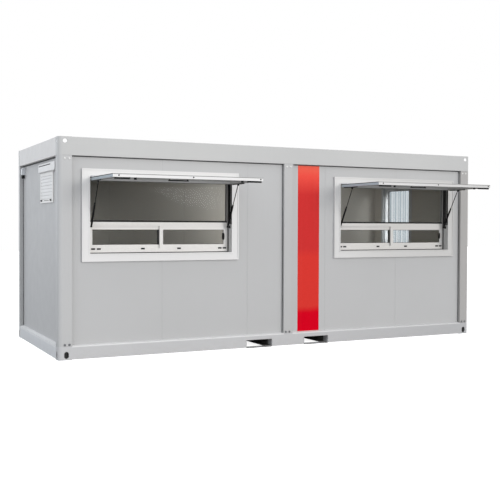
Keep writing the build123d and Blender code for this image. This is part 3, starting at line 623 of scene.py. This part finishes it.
def makeWallShadeStrips():
    bm = bmesh.new()
    s = wallShadeStrips
    edge, level, endLevel = s["edge"], wallTop - s["drop"], wallTop - s["endDrop"]
    for sign in (-1, 1):
        face, outer = sign * wallFront, sign * (wallFront + s["proud"])
        for start, stop in bays:
            addBlock(bm, (start, face, level), (stop, outer, wallTop), edge)
            for x, width in ((start, s["side"]), (stop, -s["side"])):
                addBlock(bm, (x, face, wallFoot), (x + width, outer, level), edge)
        face, outer = sign * wallEnd, sign * (wallEnd + s["proud"])
        addBlock(bm, (face, -endBay, endLevel), (outer, endBay, wallTop), edge)
        for y, width in ((-endBay, s["side"]), (endBay, -s["side"])):
            addBlock(bm, (face, y, wallFoot), (outer, y + width, endLevel), edge)
    finishPiece("wallShadeStrips", bm, "shadowRubber")


makeWallShadeStrips()


# Filled seams where the corner blocks meet the rails and posts
seams = {"half": 0.00175, "proud": 0.0003, "sunk": 0.001, "inset": 0.05}


def makeSeams():
    bm = bmesh.new()
    s = seams
    for sx, sy in fourCorners:
        for level in (wallTop, wallFoot):
            low, high = level - s["half"], level + s["half"]
            addBlock(bm, (sx * (halfLength - s["inset"]), sy * (halfWidth - s["sunk"]), low),
                     (sx * bayEnd, sy * (halfWidth + s["proud"]), high))
            addBlock(bm, (sx * (halfLength - s["sunk"]), sy * (halfWidth - s["inset"]), low),
                     (sx * (halfLength + s["proud"]), sy * endBay, high))
    finishPiece("cornerSeams", bm, "seamFiller")


makeSeams()
print("seals and seams done")


# Sloped flashing from the wall down to the bottom rail, with a lip over the rail at the front and left end; its paint
# is lighter than the walls as painted light on the upward slope
flashing = {"front": 0.010, "end": 0.013, "lip": 0.0016, "gap": 0.0001, "setBack": 0.003, "hold": 0.001,
            "frontDrop": 0.013, "endDrop": 0.026, "frontProud": 0.0012, "endProud": 0.0003}


def slopedSection(wall, rail, rise):
    near, far, top = wall + flashing["gap"], rail - flashing["setBack"], wallFoot + flashing["lip"]
    return [(near, wallFoot), (far, wallFoot), (far, top), (near, wallFoot + rise)]


def lipSection(rail, proud, drop):
    near, far, lip = rail - flashing["hold"], rail + proud, flashing["lip"]
    return [(near, wallFoot + lip), (far, wallFoot + lip * 0.4), (far, wallFoot - drop), (near, wallFoot - drop)]


def makeFlashing():
    f = flashing
    bm = bmesh.new()
    slope = slopedSection(wallFront, halfWidth, f["front"])
    lip = lipSection(halfWidth, f["frontProud"], f["frontDrop"])
    for start, stop in bays:
        for section, sign in ((slope, -1), (slope, 1), (lip, -1)):
            addSlope(bm, [(start, sign * y, z) for y, z in section], (stop - start, 0, 0))
    slope = slopedSection(wallEnd, halfLength, f["end"])
    for section in (slope, lipSection(halfLength, f["endProud"], f["endDrop"])):
        addSlope(bm, [(-x, -endBay, z) for x, z in section], (0, 2 * endBay, 0))
    low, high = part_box("door_frame")
    for start, stop in ((-endBay, low.y), (high.y, endBay)):
        addSlope(bm, [(x, start, z) for x, z in slope], (0, stop - start, 0))
    finishPiece("footFlashing", bm, "flashingPaint")


makeFlashing()


# Serving windows, shared places: sill, head, transom and the faces of frame and panes
serving = {
    "centre": 1.715, "half": 0.909, "sill": 1.237, "head": 2.143, "frameFront": -1.094,
    "stile": 0.018, "foot": 0.055, "headRail": 0.018, "transomLow": 1.567, "transomHigh": 1.617,
    "bead": 0.010, "sashBorder": 0.036, "meeting": 0.0135, "upperPane": -1.0695, "rearPane": -1.054,
    "nearPane": -1.0785, "nearSash": -1.088,
}
sides = (("left", -serving["centre"]), ("right", serving["centre"]))


# Filler in the joints between the wall panels
joints = {"side": (-1.725, -0.575, 0.575, 1.725), "end": 0.180, "footGap": 0.024, "topGap": 0.012, "casing": 0.096,
          "section": ((-0.0012, 0.004), (0.0012, 0.004), (0.00399, 0.0003), (-0.00399, 0.0003))}


def makeJointFiller():
    j, s = joints, serving
    bm = bmesh.new()
    foot, top = wallFoot + j["footGap"], wallTop - j["topGap"]
    broken = ((foot, s["sill"] - j["casing"]), (s["head"] + j["casing"], top))
    for x in j["side"]:
        for sy in (-1, 1):
            crossed = sy < 0 and abs(abs(x) - s["centre"]) < s["half"] + j["casing"]
            for start, stop in broken if crossed else ((foot, top),):
                corners = [(x + a, sy * (wallFront - depth), start) for a, depth in j["section"]]
                addSlope(bm, corners, (0, 0, stop - start))
    corners = [(depth - wallEnd, j["end"] + a, foot) for a, depth in j["section"]]
    addSlope(bm, corners, (0, 0, top - foot))
    finishPiece("jointFiller", bm, "jointPaint")


makeJointFiller()


# Rubber round the frame and the upper pane
windowSeals = {
    "bulb": [(0.0, 0.0), (0.0, -0.0075), (0.003, -0.0095), (0.007, -0.009), (0.009, -0.005), (0.009, 0.0)],
    "wedge": [(0.0, 0.0), (0.0, -0.0035), (0.0022, -0.0035), (0.0055, -0.0005), (0.0055, 0.0)],
}


def makeWindowSeals(side, centre):
    s, w = serving, windowSeals
    bm = bmesh.new()
    low, high = (centre - s["half"], s["sill"]), (centre + s["half"], s["head"])
    addRing(bm, low, high, s["frameFront"] + 0.0005, w["bulb"])
    reach = s["half"] - s["stile"] - s["bead"]
    paneLow, paneHigh = s["transomHigh"] + s["bead"], s["head"] - s["headRail"] - s["bead"]
    addRing(bm, (centre - reach, paneLow), (centre + reach, paneHigh), s["upperPane"], w["wedge"])
    finishPiece(side + "WindowSeals", bm, "rubberBlack")


# Guides in the jambs: front, back and depth of each
jambGuides = {"rows": ((-1.196, -1.168, 0.0025), (-1.157, -1.142, 0.009), (-1.128, -1.104, 0.005)),
              "low": 0.026, "high": 0.012, "edge": 0.0018}


def makeJambGuides(side, centre):
    s, g = serving, jambGuides
    bm = bmesh.new()
    for sign in (-1, 1):
        jamb = centre + sign * s["half"]
        for front, back, depth in g["rows"]:
            addBlock(bm, (jamb, front, s["transomLow"] + g["low"]),
                     (jamb - sign * depth, back, s["head"] - g["high"]), g["edge"])
    finishPiece(side + "JambGuides", bm, "blackFitting")


# Hooded drain slots: rounded plate with a raised brow
weeps = {"places": (-0.845, -0.776, -0.230, 0.238, 0.790, 0.854), "rise": 0.052, "edge": 0.0018}


def makeWeeps(side, centre):
    bm = bmesh.new()
    y, z, edge = serving["frameFront"], serving["sill"] + weeps["rise"], weeps["edge"]
    for place in weeps["places"]:
        x = centre + place
        addBlock(bm, (x - 0.024, y - 0.0024, z - 0.0095), (x + 0.024, y, z + 0.0095), edge)
        addBlock(bm, (x - 0.022, y - 0.0072, z + 0.0005), (x + 0.022, y - 0.0015, z + 0.0084), edge)
    finishPiece(side + "WeepCaps", bm, "blackFitting")


# Dished oval pull on the outer stile of the sash in front
sashPull = {"place": 0.838, "level": 1.436, "half": 0.017, "reach": 0.045, "shrink": 0.0125, "sides": 28,
            "rings": ((0.0, 1.0), (-0.004, 1.0), (-0.006, 0.9), (-0.006, 0.72), (-0.0025, 0.6), (-0.0025, 0.2))}


def makeSashPulls(side, centre):
    p = sashPull
    bm = bmesh.new()
    loops = []
    for rise, scale in p["rings"]:
        loop = []
        for step in range(p["sides"]):
            angle = 2 * math.pi * step / p["sides"]
            a, b = math.cos(angle), math.sin(angle)
            across = p["half"] * scale * math.copysign(abs(a) ** 0.8, a)
            upward = (p["reach"] - p["shrink"] * (1 - scale)) * math.copysign(abs(b) ** 0.6, b)
            spot = (centre + p["place"] + across, serving["nearSash"] + rise, p["level"] + upward)
            loop.append(bm.verts.new(spot))
        loops.append(loop)
    for first, second in zip(loops, loops[1:]):
        joinLoops(bm, first, second)
    bm.faces.new(loops[-1])
    bm.faces.new(list(reversed(loops[0])))
    finishPiece(side + "SashPulls", bm, "blackFitting")


# Dark rubber along the top of the transom and beside the meeting stile, partly gasket and partly painted shade in
# those gaps, and rubber round the panes of the sashes
sashRubberAndShade = {"transom": ((-1.0962, -0.005), (-1.0920, 0.012)), "stile": ((-0.026, -1.0668), (0.002, -1.0632)),
              "stileEnds": 0.045,
              "wedge": [(0.0, 0.0), (0.0, -0.003), (0.002, -0.003), (0.0045, -0.0005), (0.0045, 0.0)]}


def makeSashRubberAndShade(side, centre):
    s, r = serving, sashRubberAndShade
    bm = bmesh.new()
    low, high, reach = s["sill"] + s["foot"], s["transomLow"], s["half"] - s["stile"]
    (front, under), (back, over) = r["transom"]
    addBlock(bm, (centre - reach, front, s["transomHigh"] + under),
             (centre + reach, back, s["transomHigh"] + over), 0.0012)
    meeting = centre - s["meeting"]
    (start, front), (stop, back) = r["stile"]
    addBlock(bm, (meeting + start, front, low + r["stileEnds"]), (meeting + stop, back, high - r["stileEnds"]), 0.001)
    border = s["sashBorder"] + s["bead"]
    for start, stop, level in ((centre - reach, centre + s["meeting"], s["rearPane"]),
                               (meeting, centre + reach, s["nearPane"])):
        addRing(bm, (start + border, low + border), (stop - border, high - border), level, r["wedge"])
    finishPiece(side + "SashRubberAndShade", bm, "rubberBlack")


# Grey covers on the stiles of the frame, painting the shade on the white stiles: a deep one above the transom, a flat
# one below
stileShadeCovers = {
    "upper": [(0.0, -1.0935), (0.0, -1.0965), (0.004, -1.0985), (0.024, -1.0985), (0.028, -1.0965), (0.028, -1.0700),
              (0.0185, -1.0700), (0.0185, -1.0935)],
    "lower": [(0.0, -1.0935), (0.0, -1.0965), (0.004, -1.0975), (0.016, -1.0975), (0.020, -1.0962), (0.020, -1.0935)],
}


def makeStileShadeCovers(side, centre):
    s, c = serving, stileShadeCovers
    bm = bmesh.new()
    spans = (("upper", s["transomHigh"] + 0.012, s["head"] - 0.002),
             ("lower", s["sill"] + 0.002, s["transomHigh"] + 0.011))
    for sign in (-1, 1):
        jamb = centre + sign * s["half"]
        for part, low, high in spans:
            addSlope(bm, [(jamb - sign * inward, y, low) for inward, y in c[part]], (0, 0, high - low))
    finishPiece(side + "StileShadeCovers", bm, "stileCover")


for side, centre in sides:
    for make in (makeWindowSeals, makeJambGuides, makeWeeps, makeSashPulls, makeSashRubberAndShade, makeStileShadeCovers):
        make(side, centre)
print("serving windows done")


# Flaps: bulb seal, edge buttons, bolt covers and strut plates; end plates toned darker and bluer as painted shade,
# with a black rubber strip along their top as a painted shadow gap; a grey lip along the front top edge as a painted
# shade line
flap = {
    "half": 0.903, "front": -2.115, "back": -1.220, "under": 2.098, "top": 2.138, "seal": 0.0355,
    "bulb": [(0.0, 0.0), (0.0, -0.004), (0.003, -0.0065), (0.007, -0.006), (0.0095, -0.003), (0.0095, 0.0)],
    "buttons": (-0.835, 0.03, 0.872),
    "button": [(0.009, 0.0), (0.009, 0.0006), (0.0078, 0.0009), (0.005, 0.0009), (0.0044, 0.0007), (0, 0.0007)],
    "bolt": (0.019, 0.193),
    "cover": [(0.001, 0.0), (0.001, -0.017), (0.005, -0.0205), (0.023, -0.0205), (0.027, -0.017), (0.027, 0.0)],
    "plate": (-1.255, -1.60), "plateInset": 0.0045,
    "plateSection": [(0.0, 0.0), (0.0, -0.010), (0.0014, -0.0125), (0.0056, -0.0125), (0.007, -0.010), (0.007, 0.0)],
    "endBack": 0.004, "endSunk": 0.0005, "endProud": 0.0014, "endEdge": 0.0006,
    "lip": [(-0.0004, -0.0078), (-0.0004, -0.0012), (0.0008, -0.0002), (0.005, 0.0002), (0.005, -0.0078)],
}


def makeFlapSeal(side, centre):
    f = flap
    bm = bmesh.new()
    low = (centre - f["half"] + f["seal"], f["front"] + f["seal"])
    high = (centre + f["half"] - f["seal"], f["back"] - f["seal"])
    addRing(bm, low, high, f["under"] + 0.0003, f["bulb"], plane="xy")
    finishPiece(side + "FlapSeal", bm, "edgeRubber", side + "_flap")


def makeFlapFittings(side, centre):
    f = flap
    bm = bmesh.new()
    middle, under = (f["under"] + f["top"]) / 2, f["under"] + 0.0005
    for place in f["buttons"]:
        addLathe(bm, (centre + place, f["front"] + 0.0005, middle), (0, -1, 0), f["button"], 16)
    finishPiece(side + "FlapButtons", bm, "blackFitting", side + "_flap")
    bm = bmesh.new()
    plateStart, plateStop = f["plate"]
    for sign in (-1, 1):
        start, stop = (centre + sign * (f["half"] - reach) for reach in f["bolt"])
        addSlope(bm, [(start, f["front"] + y, under + z) for y, z in f["cover"]], (stop - start, 0, 0))
        edge = centre + sign * (f["half"] - f["plateInset"])
        corners = [(edge - sign * inward, plateStart, under + z) for inward, z in f["plateSection"]]
        addSlope(bm, corners, (0, plateStop - plateStart, 0))
    finishPiece(side + "FlapCovers", bm, "blackFitting", side + "_flap")


def makeFlapEnds(side, centre):
    f = flap
    plates, shadowStrip = bmesh.new(), bmesh.new()
    front, back, under, top = f["front"], f["back"] - f["endBack"], f["under"], f["top"]
    for sign in (-1, 1):
        face = centre + sign * f["half"]
        inner, outer = face - sign * f["endSunk"], face + sign * f["endProud"]
        # painted shade: end plates darker and bluer than the flap; a black strip along their top paints the shadow
        # gap
        addBlock(plates, (inner, front + 0.0015, under + 0.0008), (outer, back, top - 0.009), f["endEdge"])
        addBlock(shadowStrip, (inner, front + 0.0012, top - 0.0085), (outer, back, top - 0.0004), f["endEdge"])
    finishPiece(side + "FlapEndPlates", plates, "flapEndPaint", side + "_flap")
    finishPiece(side + "FlapEndRubber", shadowStrip, "rubberBlack", side + "_flap")
    # grey lip along the top of the front edge: a painted shade line
    bm = bmesh.new()
    corners = [(centre - f["half"] + 0.001, front + y, top + z) for y, z in f["lip"]]
    addSlope(bm, corners, (2 * f["half"] - 0.002, 0, 0))
    finishPiece(side + "FlapLip", bm, "edgeRubber", side + "_flap")


# Struts: rings and sleeve on the tube, ball socket on the rod
struts = {"place": 0.879, "foot": (-1.140, 1.557), "tip": (-1.452, 2.080), "tube": 0.010,
          "mouth": 0.298, "sleeve": 0.034, "base": 0.012, "socket": 0.016}


def makeStrutCaps(side, centre):
    s = struts
    r = s["tube"]
    rings = {
        "mouth": [(r, 0), (r + 0.0007, 0.001), (r + 0.0007, 0.016), (r * 0.9, 0.0215), (r * 0.68, 0.0222)],
        "sleeve": [(r, 0), (r + 0.0016, 0.003), (r + 0.0016, 0.255), (r, 0.260)],
        "base": [(r * 0.7, 0), (r + 0.0007, 0.004), (r + 0.0007, 0.020), (r, 0.021)],
    }
    socket = [(0.0052, 0), (0.0058, 0.001), (0.0058, 0.006), (0.0052, 0.0075)]
    caps, sockets = bmesh.new(), bmesh.new()
    for sign in (-1, 1):
        x = centre + sign * s["place"]
        foot, tip = Vector((x, *s["foot"])), Vector((x, *s["tip"]))
        along = (tip - foot).normalized()
        for name, profile in rings.items():
            addLathe(caps, foot + along * s[name], along, profile, 24, False)
        addLathe(sockets, tip - along * s["socket"], along, socket, 24)
    finishPiece(side + "StrutCaps", caps, "tubeBlack", side + "_tubes")
    finishPiece(side + "StrutSockets", sockets, "blackFitting", side + "_rods")


for side, centre in sides:
    for make in (makeFlapSeal, makeFlapFittings, makeFlapEnds, makeStrutCaps):
        make(side, centre)
print("flaps and struts done")


# Small window: stops and finger slot on the end bar
endWindow = {"face": -2.962, "level": 1.876, "stops": (-0.681, -0.161), "slot": (-0.55, -0.29), "slotHalf": 0.003,
             "stop": [(0.0125, 0), (0.0125, 0.002), (0.0105, 0.006), (0.0100, 0.015), (0.006, 0.0185), (0, 0.019)]}


def makeEndStops():
    e = endWindow
    bm = bmesh.new()
    face, level, half = e["face"], e["level"], e["slotHalf"]
    for y in e["stops"]:
        addLathe(bm, (face, y, level), (-1, 0, 0), e["stop"], 24)
    addBlock(bm, (face - 0.0016, e["slot"][0], level - half), (face, e["slot"][1], level + half), 0.0012)
    finishPiece("endBarStops", bm, "blackFitting")


# Black brush in the slot of the shutter box, partly a brush seal and partly painted shade in the slot
shutter = {"face": -2.9868, "back": -2.979, "low": (-0.956, 2.3003), "high": (-0.092, 2.3117), "tufts": 60}


def makeShutterBrushAndShade():
    s = shutter
    bm = bmesh.new()
    (yLow, zLow), (yHigh, zHigh) = s["low"], s["high"]
    addBlock(bm, (s["face"], yLow, zHigh - 0.003), (s["back"], yHigh, zHigh), 0.0008)
    for step in range(s["tufts"]):
        y = yLow + (yHigh - yLow) * (step + 0.5) / s["tufts"]
        addBlock(bm, (s["face"] + 0.0008, y - 0.0065, zLow), (s["back"] - 0.001, y + 0.0065, zHigh - 0.002))
    finishPiece("shutterBrushAndShade", bm, "rubberBlack")


# Screws in the face of the power inlet
inletScrews = {"places": (0.973, 1.025), "level": 2.266, "back": -2.952,
               "profile": [(0.004, 0.04), (0.004, 0.0447), (0.0025, 0.0452), (0, 0.0452)]}


def makeInletScrews():
    i = inletScrews
    bm = bmesh.new()
    for y in i["places"]:
        addLathe(bm, (i["back"], y, i["level"]), (-1, 0, 0), i["profile"], 14)
    finishPiece("inletScrews", bm, "zincBolt")


# Roof screws with washers along the ribs
roofScrews = {"rows": (-0.92, -0.46, 0.0, 0.46, 0.92), "pitch": 0.52, "size": 0.0055, "rise": 0.006}


def makeRoofScrews():
    low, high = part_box("roof_deck")
    r = roofScrews
    bm = bmesh.new()
    count = int((high.x - low.x - 0.3) / r["pitch"])
    for step in range(count + 1):
        x = (step - count / 2) * r["pitch"]
        for y in r["rows"]:
            addHexBolt(bm, (x, y, high.z), (0, 0, 1), r["size"], r["rise"])
    finishPiece("roofScrews", bm, "zincBolt")


makeEndStops()
makeShutterBrushAndShade()
makeInletScrews()
makeRoofScrews()


# Door: reeded pane in place of the plain one, rubber round it on both faces
door = {"reed": 0.0125, "depth": 0.0016, "angle": 60,
        "wedge": [(0.0, 0.0), (0.0, 0.0045), (0.003, 0.0045), (0.007, 0.0008), (0.007, 0.0)]}


def makeReededPane():
    low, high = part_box("door_glass")
    d = door
    bm = bmesh.new()
    count = max(2, int((high.y - low.y) / d["reed"]))
    steps = count * 6
    rows = []
    for z in (low.z, high.z):
        row = []
        for step in range(steps + 1):
            share = step / steps
            y = low.y + (high.y - low.y) * share
            swell = d["depth"] * abs(math.sin(math.pi * count * share))
            row.append((bm.verts.new((low.x + d["depth"] - swell, y, z)), bm.verts.new((high.x, y, z))))
        rows.append(row)
    lower, upper = rows
    for step in range(steps):
        a, b, c, e = lower[step], lower[step + 1], upper[step + 1], upper[step]
        bm.faces.new((a[0], b[0], c[0], e[0]))
        bm.faces.new((b[1], a[1], e[1], c[1]))
        bm.faces.new((a[1], b[1], b[0], a[0]))
        bm.faces.new((e[0], c[0], c[1], e[1]))
    for step in (0, steps):
        bm.faces.new((lower[step][0], upper[step][0], upper[step][1], lower[step][1]))
    pane = finishPiece("reededPane", bm, "reededGlass", "door", d["angle"])
    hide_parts("door_glass")


def makeDoorRubber():
    low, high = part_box("door_glass")
    bm = bmesh.new()
    for face, sign in ((high.x, 1), (low.x, -1)):
        section = [(inward, sign * rise) for inward, rise in door["wedge"]]
        addRing(bm, (low.y, low.z), (high.y, high.z), face, section, plane="yz")
    finishPiece("doorRubber", bm, "rubberBlack", "door")


makeReededPane()
makeDoorRubber()
print("door, roof and end details done")


# Fork pockets: weld beads, black strips on the lower edges as painted shade on the straps, floor angles and cheek
# plates
pockets = {
    "centres": (-0.421, 0.421), "half": 0.182, "low": 0.014, "high": 0.104,
    "bead": [(0.0, 0.0), (-0.0035, -0.0012), (-0.0045, -0.0032), (-0.002, -0.0042), (0.0, -0.003)],
    "edge": [(0.001, 0.001), (-0.0015, 0.0025), (-0.0015, 0.0135), (0.001, 0.0145)],
    "angleWidth": 0.105, "angleThick": 0.004, "setBack": 0.004, "cheekDepth": 0.11, "cheekThick": 0.002,
    "wallGap": 0.0003, "gap": 0.0004,
}


def rectangle(left, right, y, low, high):
    return [(left, y, low), (right, y, low), (right, y, high), (left, y, high)]


def makePocketDetail():
    p = pockets
    welds, edges, angles, cheeks = bmesh.new(), bmesh.new(), bmesh.new(), bmesh.new()
    front = -halfWidth + p["setBack"]
    foot = p["low"] + p["gap"]
    step = foot + p["angleThick"]
    for middle in p["centres"]:
        left, right = middle - p["half"], middle + p["half"]
        addRing(welds, (left, p["low"]), (right, p["high"]), -halfWidth + 0.0005, p["bead"])
        # black strip over the strap: painted shade
        addSlope(edges, [(left, y - halfWidth, z) for y, z in p["edge"]], (2 * p["half"], 0, 0))
        wall = right - p["wallGap"]
        leg = rectangle(wall - p["angleWidth"], wall, front, foot, step)
        addSlope(angles, leg, (0, 2 * (halfWidth - p["setBack"]), 0))
        cheek = rectangle(wall - p["cheekThick"], wall, front, step, p["high"] - p["gap"])
        addSlope(cheeks, cheek, (0, p["cheekDepth"], 0))
    finishPiece("pocketWelds", welds, "railPaint")
    finishPiece("pocketShadeEdges", edges, "rubberBlack")
    finishPiece("pocketAngles", angles, "underframePaint")
    finishPiece("pocketCheeks", cheeks, "railPaint")


makePocketDetail()
print("fork pockets done")


# Floor, sky and lamps
studio = {"skyLeft": (1.30, 1.36, 1.44, 1), "skyRight": (1.05, 1.05, 1.05, 1), "floor": tone(250, 250, 250),
          "floorSecond": tone(247, 247, 247), "floorGlow": 0.96, "ground": (0.40, 0.40, 0.40, 1),
          "sunWay": (-0.40, 0.905, -0.19), "sunPower": 1.18, "sunSpread": 20.0, "sunColour": (1.0, 0.965, 0.93)}
lampPanels = {
    # a broad one in front, one that lifts the room, a tall thin strip on the door
    "fill": {"place": (-2.6, -8.6, 2.6), "aim": (-1.2, -1.2, 1.3), "size": 2.5, "power": 54.0, "spread": 180.0},
    "room": {"place": (0.80, -0.45, 1.9), "aim": (0.80, 1.1, 1.9), "size": 0.6, "power": 14.6, "spread": 150.0},
    "door": {"place": (1.95, 0.66, 1.68), "aim": (2.91, 0.70, 1.68), "size": 0.7, "thin": 0.05, "power": 2.2,
             "spread": 20.0},
}


def makeFloor():
    bm = bmesh.new()
    bmesh.ops.create_grid(bm, x_segments=8, y_segments=8, size=40)
    mesh = bpy.data.meshes.new("paleFloor")
    bm.to_mesh(mesh)
    bm.free()
    material, tree, shader = newMaterial("paleFloor")
    colour = blendColour(tree, spread(tree, noiseAt(tree, 0.4), 0.3, 0.7), studio["floor"], studio["floorSecond"])
    seen = put(tree, "ShaderNodeLightPath").outputs["Is Camera Ray"]
    tree.links.new(blendColour(tree, seen, studio["ground"], colour), shader.inputs["Base Color"])
    tree.links.new(colour, shader.inputs["Emission Color"])
    tree.links.new(math2(tree, "MULTIPLY", seen, studio["floorGlow"]), shader.inputs["Emission Strength"])
    shader.inputs["Roughness"].default_value = 0.9
    shader.inputs["Specular IOR Level"].default_value = 0.0
    mesh.materials.append(material)
    floor = newObject("paleFloor", mesh)


def makeSky():
    world = bpy.data.worlds.new("softStudio")
    world.use_nodes = True
    tree = world.node_tree
    sky = tree.nodes["Background"]  # lights the booth
    way = put(tree, "ShaderNodeTexCoord").outputs["Generated"]
    across = put(tree, "ShaderNodeSeparateXYZ", {0: way}).outputs["X"]
    share = spread(tree, across, -1.0, 1.0)  # cool from the left, plain from the right
    tree.links.new(blendColour(tree, share, studio["skyLeft"], studio["skyRight"]), sky.inputs["Color"])
    backdrop = put(tree, "ShaderNodeBackground", {"Color": (1, 1, 1, 1), "Strength": 1.0})  # what the lens sees
    seen = put(tree, "ShaderNodeLightPath").outputs["Is Camera Ray"]
    both = put(tree, "ShaderNodeMixShader", {0: seen, 1: sky.outputs[0], 2: backdrop.outputs[0]})
    tree.links.new(both.outputs[0], tree.nodes["World Output"].inputs["Surface"])
    bpy.context.scene.world = world


def facing(way):
    return Vector((0, 0, -1)).rotation_difference(Vector(way)).to_matrix().to_4x4()


def makeLamps():
    sun = bpy.data.lights.new("softKey", "SUN")
    sun.energy = studio["sunPower"]
    sun.angle = math.radians(studio["sunSpread"])
    sun.color = studio["sunColour"]
    key = newObject("softKey", sun)
    key.matrix_world = facing(studio["sunWay"])
    key.visible_glossy = False  # no disc of light on the panes
    for name, lamp in lampPanels.items():
        panel = bpy.data.lights.new(name + "Panel", "AREA")
        panel.shape = "RECTANGLE" if "thin" in lamp else "DISK"
        panel.size = lamp["size"]
        panel.size_y = lamp.get("thin", panel.size_y)
        panel.energy = lamp["power"]
        panel.spread = math.radians(lamp["spread"])
        soft = newObject(name + "Panel", panel)
        place = Vector(lamp["place"])
        soft.matrix_world = Matrix.Translation(place) @ facing(Vector(lamp["aim"]) - place)
        soft.visible_camera = False
        soft.visible_glossy = False
        soft.visible_transmission = False


makeFloor()
makeSky()
makeLamps()
bpy.context.scene.view_settings.view_transform = "Standard"
print("studio ready")
